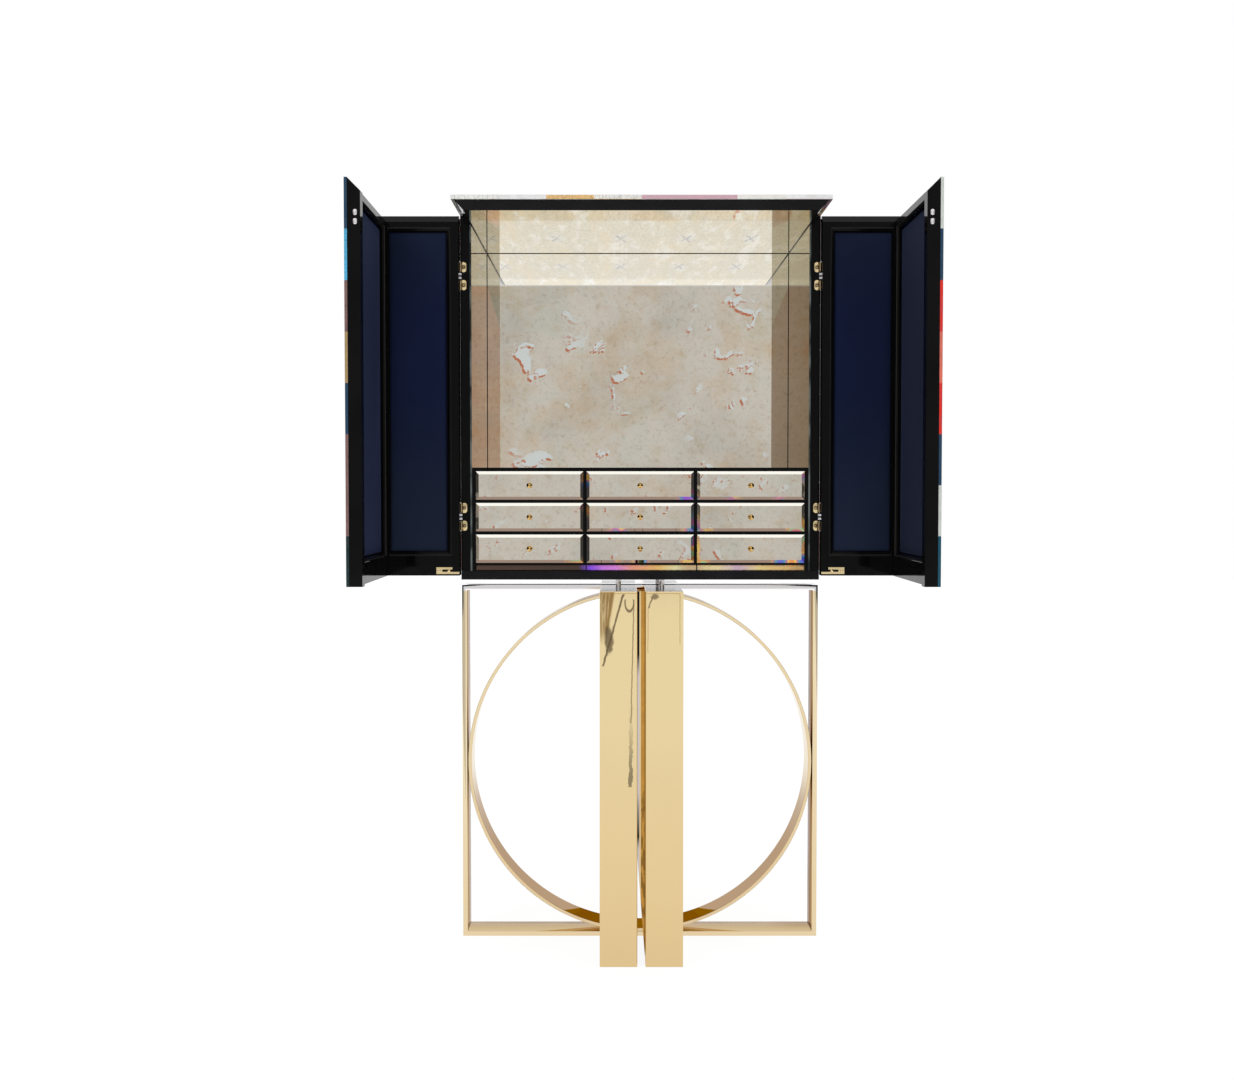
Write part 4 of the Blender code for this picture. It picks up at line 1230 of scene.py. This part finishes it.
def make_web():
    """The narrow plate that joins the columns, set back between them, cut to a slant below."""
    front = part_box("column_right")[0]
    low = (-front.x, front.y + WEB_FRONT, WEB_LOW)
    bm = bmesh.new()
    block(bm, low, (front.x, front.y + WEB_BACK, WEB_HIGH))
    for vert in bm.verts:
        if vert.co.z < 0.1 and vert.co.x < 0:
            vert.co.z = WEB_SLANT
    finish_piece("column_web", bm, web_brass, "cabinet", 40)


def make_ring():
    low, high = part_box("base_ring")
    outer, half = (high.x - low.x) / 2, (high.y - low.y) / 2
    inner, edge = outer - RING_THICK, SOFT_EDGE
    outline = [
        (outer, half - edge), (outer, edge - half), (outer - edge, -half), (inner + edge, -half),
        (inner, edge - half), (inner, half - edge), (inner + edge, half), (outer - edge, half),
        (outer, half - edge),
    ]
    upright = Matrix.Translation(middle("base_ring")) @ Matrix.Rotation(math.pi / 2, 4, "X")
    bm = bmesh.new()
    turned(bm, outline, sizes().ring_steps, upright)
    ring = finish_piece("polished_ring", bm, ring_brass, "cabinet", 30)
    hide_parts("base_ring")


def make_frame():
    low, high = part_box("base_frame")
    centre = Vector((0, low.y, (low.z + high.z) / 2))
    bm = bmesh.new()
    grid(bm, centre, X * (high.x - low.x), Z * (high.z - low.z), -Y)
    opening = next(iter(bm.faces))
    bmesh.ops.inset_region(
        bm, faces=[opening], thickness=FRAME_BAR, depth=0.0, use_boundary=True,
        use_even_offset=True,
    )
    for vert in opening.verts:
        if vert.co.z > high.z / 2:
            vert.co.z = high.z - FRAME_TOP_BAR
    bmesh.ops.delete(bm, geom=[opening], context="FACES_ONLY")
    back, _ = extrude(bm, bm.faces[:])
    bmesh.ops.translate(bm, vec=Y * (high.y - low.y), verts=back)
    bmesh.ops.recalc_face_normals(bm, faces=bm.faces)
    bevel(bm, [edge for edge in bm.edges if edge.calc_face_angle(0.0) > 1.0], SOFT_EDGE)
    made = finish_piece("polished_frame", bm, frame_brass, "cabinet", 40)
    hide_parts("base_frame")


class CABINET_OT_stand(Operator):
    """Makes the stand's ring and frame with softened edges, and the columns' web"""

    bl_idname = "cabinet.make_stand"
    bl_label = "Make Stand"

    def execute(self, context):
        make_ring()
        make_frame()
        make_web()
        return {"FINISHED"}


def set_room(scene):
    world = scene.world = bpy.data.worlds.new("studio")
    world.use_nodes = True
    sky = Nodes(world.node_tree)
    x, y, z = (sky.part(letter, sky.towards) for letter in "XYZ")
    room = sky.ramp(
        (z + 1.0) * 0.5,
        [((level + 1) / 2, (shade, shade * 0.99, shade * 0.97)) for level, shade in SKY_BANDS],
    )
    beside = abs(x).rise(0.36, 0.50) * abs(z).fall(0.24, 0.34)
    room = room.mix(beside, (0.34, 0.31, 0.28)).mix(sky.maths("GREATER_THAN", y, 0.0), WHITE)
    soft, mirrored, plain = (
        sky.node("ShaderNodeBackground", {"Color": colour, "Strength": strength})
        for colour, strength in ((rgba((0.96, 0.98, 1.0)), 0.55), (room, 1.0), (rgba(WHITE), 1.0))
    )
    glossy, seen = sky.rays()
    last = sky.blend(seen, sky.blend(glossy, soft, mirrored), plain)
    sky.put(sky.tree.nodes["World Output"].inputs["Surface"], last)


def set_floor():
    finish = Finish("pale_floor")
    across = finish.vector_maths("LENGTH", finish.place, output="Value")
    plain = finish.node("ShaderNodeBsdfDiffuse", {"Color": rgba((0.82, 0.82, 0.82))})
    glow = finish.node("ShaderNodeEmission", {"Strength": 1.06})
    shadowed = finish.blend(across.rise(0.9, 2.6, 0.88, 1.0), plain, glow)
    # Painted shadow: seen in reflections, the floor is darker and warmer near the cabinet
    tones = [(0.0, (0.90, 0.85, 0.80)), (0.1, (0.97, 0.94, 0.90)), (0.4, WHITE)]
    mirrored = finish.node("ShaderNodeEmission", {"Color": finish.ramp(across * 0.125, tones)})
    glossy, seen = finish.rays()
    last = finish.blend(seen, finish.blend(glossy, plain, mirrored), shadowed)
    finish.put(finish.tree.nodes["Material Output"].inputs["Surface"], last)
    bm = bmesh.new()
    grid(bm, (0, 0, -0.0003), X * 28, Y * 28, Z)
    mesh = mesh_from("floor", bm)
    mesh.materials.append(finish.material)
    placed("floor", mesh)


class CABINET_OT_stage(Operator):
    """Sets the camera, the lamps, the surroundings and the floor"""

    bl_idname = "cabinet.set_stage"
    bl_label = "Set Stage"

    def execute(self, context):
        scene = context.scene
        scene.view_settings.view_transform = "Standard"
        lens = bpy.data.cameras.new("camera")
        lens.sensor_width = SENSOR
        lens.lens = FOCAL_LENGTH * SENSOR / PHOTO_WIDTH
        scene.camera = placed("camera", lens)
        scene.camera.location = (-0.0558, FRONT_Y - CAMERA_DISTANCE, 1.0888)
        scene.camera.rotation_euler = (math.radians(90 - 1.965), 0, 0)
        for name, place, power in (
            ("lamp_left", (-3.2, -3.6, 3.4), 95),
            ("lamp_right", (3.4, -3.2, 3.0), 70),
            ("lamp_back", (0.6, 3.4, 3.6), 45),
        ):
            light = bpy.data.lights.new(name, "AREA")
            light.size, light.energy = 2.4, power
            lamp = placed(name, light)
            lamp.location = place
            lamp.rotation_euler = (Z - Vector(place)).to_track_quat("-Z", "Y").to_euler()
            lamp.visible_glossy = False
        set_room(scene)
        set_floor()
        return {"FINISHED"}


class CABINET_PT_panel(Panel):
    """Lists the cabinet's colours, sizes and steps"""

    bl_idname = "CABINET_PT_panel"
    bl_label = "Cabinet"
    bl_space_type = "VIEW_3D"
    bl_region_type = "UI"
    bl_category = "Cabinet"

    def draw(self, context):
        for settings in (context.scene.cabinet_colours, context.scene.cabinet_sizes):
            box = self.layout.box()
            for name in settings.bl_rna.properties.keys():
                if name not in ("rna_type", "name"):
                    box.prop(settings, name)
        for step in STEPS:
            self.layout.operator(step.bl_idname)


STEPS = (
    CABINET_OT_stage,
    CABINET_OT_case,
    CABINET_OT_tiles,
    CABINET_OT_mouldings,
    CABINET_OT_pads,
    CABINET_OT_knobs,
    CABINET_OT_fittings,
    CABINET_OT_trim,
    CABINET_OT_stand,
)
CLASSES = (CabinetColours, CabinetSizes, *STEPS, CABINET_PT_panel)


def register():
    for each in CLASSES:
        bpy.utils.register_class(each)
    bpy.types.Scene.cabinet_colours = PointerProperty(type=CabinetColours)
    bpy.types.Scene.cabinet_sizes = PointerProperty(type=CabinetSizes)


def unregister():
    del bpy.types.Scene.cabinet_sizes
    del bpy.types.Scene.cabinet_colours
    for each in reversed(CLASSES):
        bpy.utils.unregister_class(each)


def main():
    register()
    for step in STEPS:
        family, name = step.bl_idname.split(".")
        getattr(getattr(bpy.ops, family), name)()


if __name__ == "__main__":
    main()
